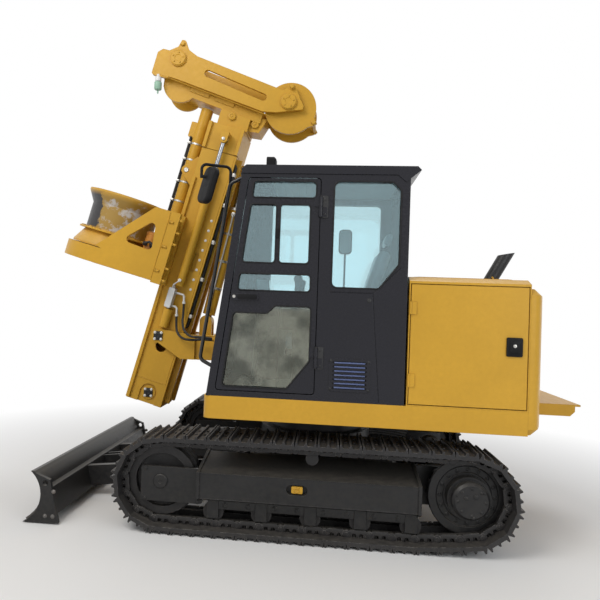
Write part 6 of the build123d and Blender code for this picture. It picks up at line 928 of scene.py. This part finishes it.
MAST_WELDS = (
    (-180, -400, 96, -400, 190, 5, 12), (98, -590, 98, 1425, 191, 4.5, 16),
    (-178, -390, -178, 1690, 190, 4, 18), (-58, 90, -58, 248, 193, 4, 12), (22, 90, 22, 248, 193, 4, 12),
)
CROWN_WELDS = ((-240, 2128, 480, 2198, 131, 5, 14), (-396, 2112, 690, 2217, 200, 4, 16))
CARRIAGE_WELDS = (
    (160, 452, 700, 452, 410, 4, 16), (162, 470, 162, 1050, 411, 4.5, 14), (230, 588, 690, 588, 386, 4.5, 14),
)
keepers = Piece("pin_keepers", "mast", "black_paint")
mast_bolts = Piece("mast_bolts", "mast", "chrome", "bright_bolt")
mast_welds = Piece("mast_welds", "mast", "yellow_paint")
for side in SIDES:
    retainer(keepers, mast_bolts, 0, 0, side * 238, 42, 0.55)
    retainer(keepers, mast_bolts, -50, -510, side * 185, 42, 0.55)
    for k in range(8):
        mast_bolts.bolt(mast(-145, 467 + 90 * k, side * MAST_SIDE), LEFT * side, 7)
    weld(mast_welds, side, MAST_WELDS)

# Mast: lines clipped along its rear and along the feed barrel
lines = Piece("mast_lines", "mast", "hose_rubber")
clips = Piece("mast_clips", "mast", "chrome", "zinc")
REAR_LINE = ((-209, 190), (-209, 700), (-209, 1200), (-209, 1560), (-206, 1610), (-190, 1632))
REAR_FOOT = ((-209, 190), (-206, 150), (-190, 128))
for y in (132, 158, -132, -158):
    for run in (REAR_LINE, REAR_FOOT):
        lines.tube([mast(v, u, y) for v, u in run], 11, 12)
for u in (240, 580, 920, 1260, 1540):
    for side in SIDES:
        clips.block(mast(-209, u, side * 145), (30, 66, 34), (AHEAD, LEFT, ALONG), 4)
        clips.bolt(mast(-224, u, side * 145), -AHEAD, 6)
for y, top in ((26, 1800), (-26, 1830)):
    lines.tube([mast(304, u, y) for u in (800, 1100, 1450, top)], 10, 12)
    lines.tube([mast(304, 800, y), mast(300, 780, y), mast(284, 770, y)], 10, 12)
for u in (840, 1020, 1200, 1380, 1590, 1740):
    clips.lathe(mast(235, u - 9, 0), ALONG, ((56, 0), (58, 2), (58, 16), (56, 18)), 32, cap=False)
    clips.block(mast(303, u, 0), (30, 86, 22), (AHEAD, LEFT, ALONG), 4)

# Mast cylinders: glands, ports, base rings
glands = Piece("mast_fittings", "mast", "valve_paint")
glands.lathe(mast(-55, 1470, 246), ALONG, FEED_GLAND, 28, cap=False)
for u in (520, 1460):
    glands.lathe(mast(-55, u, 280), LEFT, ((12, 0), (12, 14), (15, 16), (15, 26), (9, 28), (3, 28)), 14)
glands.tube([mast(-55, 520, 302), mast(-48, 508, 306), mast(-14, 470, 296), mast(-8, 440, 268)], 6, 10)
glands.lathe(mast(-8, 436, 235), ALONG, VALVE_TOP, 16)
glands.lathe(mast(-8, 266, 235), -ALONG, ((14, 0), (14, 10), (8, 12), (8, 30), (5, 44), (2, 46)), 16)
for u in (300, 402):
    for y in (206, 262):
        glands.bolt(mast(19.5, u, y), AHEAD, 6)
TILT_WAY = Vector((-0.21911, 0, 0.9757))
tilt_base = at(1010, 0, 1500)
TILT_LINE = ((0.99, 84), (0.97, 92), (0.93, 78), (0.9, 70), (0.4, 70), (0.2, 70), (0.15, 78), (0.12, 88))
tilt_bits = Piece("tilt_fittings", "tilt_cylinder", "chrome", "zinc")
top = tilt_base + TILT_WAY * 1.03
tilt_bits.lathe(top, TILT_WAY, ((56.5, 0), (62, 3), (62, 24), (58, 28)), 30, cap=False)
for s in (0.12, 0.99):
    port = tilt_base + TILT_WAY * s + LEFT * 0.054
    tilt_bits.lathe(port, LEFT, ((17, 0), (17, 16), (20, 18), (20, 30), (10, 34), (3, 34)), 16)
tilt_bits.tube([tilt_base + TILT_WAY * s + LEFT * (y / 1000) for s, y in TILT_LINE], 8, 10)
for s in (0.3, 0.55, 0.8):
    tilt_bits.lathe(tilt_base + TILT_WAY * s, TILT_WAY, ((57, 0), (60, 2), (60, 20), (57, 22)), 30, cap=False)

# Crown: axle caps, tie nuts, pins, welds, switch and its weight
crown_bits = Piece("crown_fittings", "upper_mast", "yellow_paint")
for v, u in ((568, 2396), (-492, 2279)):
    for side in SIDES:
        way = LEFT * side
        crown_bits.lathe(mast(v, u, side * 215), way, AXLE_CAP, 36)
        a, b, _ = frame_on(way)
        for k in range(5):
            t = 0.3 + 2 * pi * k / 5
            crown_bits.bolt(mast(v, u, side * 222) + (a * cos(t) + b * sin(t)) * 0.046, way, 7, washer=False)
for v, u, y in ((567, 2532, 200), (-748, 2177, 142), (-487, 2406, 217)):
    for side in SIDES:
        crown_bits.lathe(mast(v, u, side * y), LEFT * side, TIE_NUT, 6)
for v, u, y in ((-40, 2038, 162), (-251, 2032, 120)):
    for side in SIDES:
        crown_bits.lathe(mast(v, u, side * y), LEFT * side, CROWN_PIN, 26)
for side in SIDES:
    weld(crown_bits, side, CROWN_WELDS)
switch = Piece("switch_head", "upper_mast", "valve_paint")
switch_top = mast(706, 2216, 190)
switch.lathe(switch_top, -UP, SWITCH_HEAD, 20)
weight = Piece("switch_weight", "upper_mast", "valve_paint", "pale_green")
weight.lathe(switch_top - UP * 0.066, -UP, SWITCH_WEIGHT, 24)

# Carriage: bolts, welds, motor flanges and lines, the pot's ring
carriage_bits = Piece("carriage_fittings", "carriage", "yellow_paint")
for side in SIDES:
    for u in (1005, 895, 795, 580, 474):
        carriage_bits.lathe(mast(74, u, side * 397), -AHEAD, CLAW_BOLT, 14)
    for u in (970, 755, 545):
        carriage_bits.lathe(mast(150, u, side * 414), -AHEAD, TRAY_BOLT, 14)
    weld(carriage_bits, side, CARRIAGE_WELDS)
MOTOR_V, MOTOR_Y = 285, 285
MOTOR_LINE = (
    (40, 0, 0), (52, -8, 6), (56, -40, 22), (54, -70, 12), (52, -86, -30), (52, -94, -90), (52, -100, -138),
)
motor_bits = Piece("motor_flanges", "carriage", "motor_paint")
motor_lines = Piece("motor_lines", "carriage", "hose_rubber")
for side in SIDES:
    centre = mast(MOTOR_V, 585, side * MOTOR_Y)
    motor_bits.lathe(centre, ALONG, ((62, 0), (92, 0), (92, 16), (88, 20), (62, 20)), 32, cap=False)
    motor_bits.ring_of_bolts(centre + ALONG * 0.02, ALONG, 78, 6, 8, 0.3)
    motor_bits.lathe(centre + ALONG * 0.235, ALONG, MOTOR_CAP, 32)
    for dv in (-30, 30):
        port = mast(MOTOR_V + dv, 735, side * MOTOR_Y) + LEFT * side * 0.046
        motor_lines.lathe(port, LEFT * side, ((16, 0), (16, 18), (20, 20), (20, 34), (12, 36), (12, 44)), 14)
        run = []
        for y, v, u in MOTOR_LINE:
            run.append(port + LEFT * side * (y / 1000) + AHEAD * (v / 1000) + ALONG * (u / 1000))
        motor_lines.tube(run, 12, 12)
pot_bits = Piece("pot_ring", "drive_pot", "yellow_paint")
pot_axis = mast(POT_V, 0, 0)
pot_bits.lathe(pot_axis + ALONG * 0.726, ALONG, POT_RING, 72, cap=False)
pot_bits.ring_of_bolts(pot_axis + ALONG * 0.742, ALONG, 328, 20, 9)

# Winch: rope on the drum, plate bolts, motor
rope = Piece("winch_rope", "winch_drum", "chrome", "rope_steel")
TURNS, STEPS, ROPE_R = 24, 20, 9
LAY_R, LAY_PITCH = 130 + ROPE_R, 19
WINCH_X, WINCH_Y, WINCH_Z = 330, -620, 1265
rope_way = []
for k in range(TURNS * STEPS + 1):
    t = 2 * pi * k / STEPS
    y = WINCH_Y - 228 + LAY_PITCH * k / STEPS
    rope_way.append(at(WINCH_X + LAY_R * cos(t), y, WINCH_Z + LAY_R * sin(t)))
rope.tube(rope_way, ROPE_R, 8)
winch = Piece("winch_fittings", "upper", "black_paint")
for side in SIDES:
    y = WINCH_Y + side * 300
    winch.ring_of_bolts(at(WINCH_X, y, WINCH_Z), LEFT * side, 72, 8, 9)
    for x in (140, 520):
        winch.bolt(at(x, y, 1030), LEFT * side, 10)
winch.lathe(at(WINCH_X, WINCH_Y - 300, WINCH_Z), -LEFT, WINCH_MOTOR, 32)

# Bracket welds, grab rail feet
BRACKET_WELDS = ((800, 1120, 207, 1172, 12), (800, 1060, 207, 1378, 12), (170, 640, 167, 1003, 14))
bracket = Piece("bracket_welds", "upper", "yellow_paint")
for side in SIDES:
    for x0, x1, y, z, pitch in BRACKET_WELDS:
        bracket.bead(at(x0, side * y, z), at(x1, side * y, z), 5, pitch)
feet = Piece("rail_feet", "upper", "rail_paint")
for z in (1180, 2630):
    feet.lathe(at(slant_x(z) - 2, 900, z), FORWARD, ((34, 0), (34, 8), (30, 10), (15, 10)), 24)
    for dz in (-24, 24):
        feet.bolt(at(slant_x(z + dz) + 6, 900, z + dz), FORWARD, 5)

# Cab: lining, headliner, door seal, hinge leaves, vent slats
lining = Piece("cab_lining", "upper", "dark_plastic", "trim_grey")
LINING = ((-560, 1050), (560, 1050), (520, 1650), (-560, 1650))
lining.slab([at(x, 241, z) for x, z in rounded(LINING, 30)], LEFT, 8, 2)
lining.panel(cross_at(-578), (250, 1050), (1050, 1770), FORWARD, 8, 2, 30)
lining.panel(level_at(1041), (-560, 640), (260, 1040), UP, 5, 1, 40)
for k in range(9):
    lining.block(at(-480 + 130 * k, SEAT_Y, 1047), (16, 720, 6), bevel=2)
ceiling = Piece("cab_headliner", "upper", "dark_plastic", "pale_trim")
ceiling.panel(level_at(2584), (-560, 380), (260, 1040), UP, 8, 2, 40)
for k in range(6):
    ceiling.block(at(80 + 56 * k, SEAT_Y, 2580), (14, 720, 10), bevel=3)
strip = Piece("door_seal", "upper", "dark_plastic", "rubber_seal")
strip.block(at(0, 1050, 1815), (64, 12, 1530), bevel=4)
leaves = Piece("hinge_leaves", "upper", "rail_paint")
for z in HINGES:
    leaves.panel(side_on(CAB_LEFT), (-52, -10), (z - 8, z + 150), LEFT, 9, 2, 10)
    for dz in (18, 124):
        leaves.bolt(at(-33, CAB_LEFT + 9, z + dz), LEFT, 6, washer=False)
SLAT_WAYS = (FORWARD, Vector((0, 0.8, 0.6)), Vector((0, -0.6, 0.8)))
slats = Piece("vent_slats", "upper", "cab_paint", "slat_blue")
for k in range(7):
    slats.block(at(VENT_X, CAB_LEFT + 8, VENT_Z + (k - 3) * 29), (214, 5, 11), SLAT_WAYS, 1.5)

# Crown web between the cheeks, bright pin ends on the mast
web = Piece("crown_web", "upper_mast", "yellow_paint")
web.slab([mast(p[0], p[1], -70) for p in ((-330, 2236), (380, 2306), (380, 2440), (-330, 2366))], LEFT, 14, 3)
pin_ends = Piece("pin_ends", "mast", "chrome", "zinc")
for side in SIDES:
    pin_ends.lathe(mast(235, 1483, side * 95), LEFT * side, PIN_END, 24)
rod_pin = Piece("rod_pin_end", "upper_mast", "chrome", "zinc")
rod_pin.lathe(mast(-55, 1800, 283), LEFT, ((15, 0), (15, 7), (11, 9), (2, 9)), 20)

for piece in riding:
    piece.done()

# Stage: pale floor, soft light, white surround
WHITE_FROM, WHITE_TO = 2.6, 5.2
floor = Piece("floor", None, None)
floor.lathe(Vector((0, 0, 0)), UP, ((60000, -20), (60000, 0), (30000, 0), (9000, 0), (10, 0)), 64)
tree = new_look("floor")
shader = tree.nodes["Principled BSDF"]
fill(tree, shader, {"Base Color": (0.86, 0.86, 0.86, 1), "Roughness": 0.9, "Specular IOR Level": 0.1})


def seen(tree):
    path = add(tree, "LightPath").outputs
    looked_at = most(tree, path["Is Camera Ray"], path["Is Glossy Ray"])
    return most(tree, looked_at, path["Is Transmission Ray"])


place = add(tree, "TexCoord").outputs["Object"]
away = add(tree, "VectorMath", {0: place}, operation="LENGTH").outputs["Value"]
white = add(tree, "Emission", {"Color": (1, 1, 1, 1), "Strength": 1.0}).outputs[0]
share = times(tree, ramp(tree, away, WHITE_FROM, WHITE_TO), seen(tree))
mixed = add(tree, "MixShader", {0: share, 1: shader.outputs[0], 2: white}).outputs[0]
tree.links.new(mixed, tree.nodes["Material Output"].inputs["Surface"])
floor.mesh.normal_update()
data = bpy.data.meshes.new("floor")
floor.mesh.to_mesh(data)
data.materials.append(materials["floor"])
ground = put("floor", data)

world = bpy.data.worlds.new("surround")
scene.world = world
world.use_nodes = True
tree = world.node_tree
back = tree.nodes["Background"]
AMBIENT = 0.5
strength = ramp(tree, seen(tree), 0, 1, AMBIENT, 1.0)
fill(tree, back, {"Strength": strength, "Color": (1, 1, 1, 1)})

LIGHTS = (
    ("key", (3.2, 4.8, 6.2), (-0.1, 0, 1.3), 3.2, 215, (1.0, 0.97, 0.92)),
    ("fill", (-4.2, 5.2, 2.6), (-0.4, 0, 1.2), 3.0, 80, (0.93, 0.97, 1.0)),
    ("rear", (-1.5, -2.6, 7.2), (0, 0, 1.6), 3.0, 100, (1, 1, 1)),
)
for name, spot, target, wide, power, tint in LIGHTS:
    lamp = bpy.data.lights.new(name, "AREA")
    lamp.size = wide
    lamp.energy = power
    lamp.color = tint
    holder = put(name, lamp)
    holder.location = spot
    holder.rotation_euler = (Vector(target) - Vector(spot)).to_track_quat("-Z", "Y").to_euler()

# Camera at the photograph's place
EYE = Vector((-0.067 + SLEW_X / 1000, 5.336, 1.641))
YAW, PITCH, ROLL = radians(6.36), radians(1.13), radians(2.14)
right, up, ahead = Vector((-1, 0, 0)), Vector((0, 0, 1)), Vector((0, -1, 0))
right, ahead = right * cos(YAW) + ahead * sin(YAW), ahead * cos(YAW) - right * sin(YAW)
up, ahead = up * cos(PITCH) - ahead * sin(PITCH), ahead * cos(PITCH) + up * sin(PITCH)
right, up = right * cos(ROLL) + up * sin(ROLL), up * cos(ROLL) - right * sin(ROLL)
lens = bpy.data.cameras.new("camera")
lens.sensor_width = 36
lens.lens = 35.81
lens.shift_x = 0.0655
lens.shift_y = -0.0065
lens.clip_end = 200
camera = put("camera", lens)
turned = Matrix((right, up, -ahead)).transposed().to_4x4()
camera.matrix_world = Matrix.Translation(EYE) @ turned
scene.camera = camera
scene.view_settings.view_transform = "Standard"
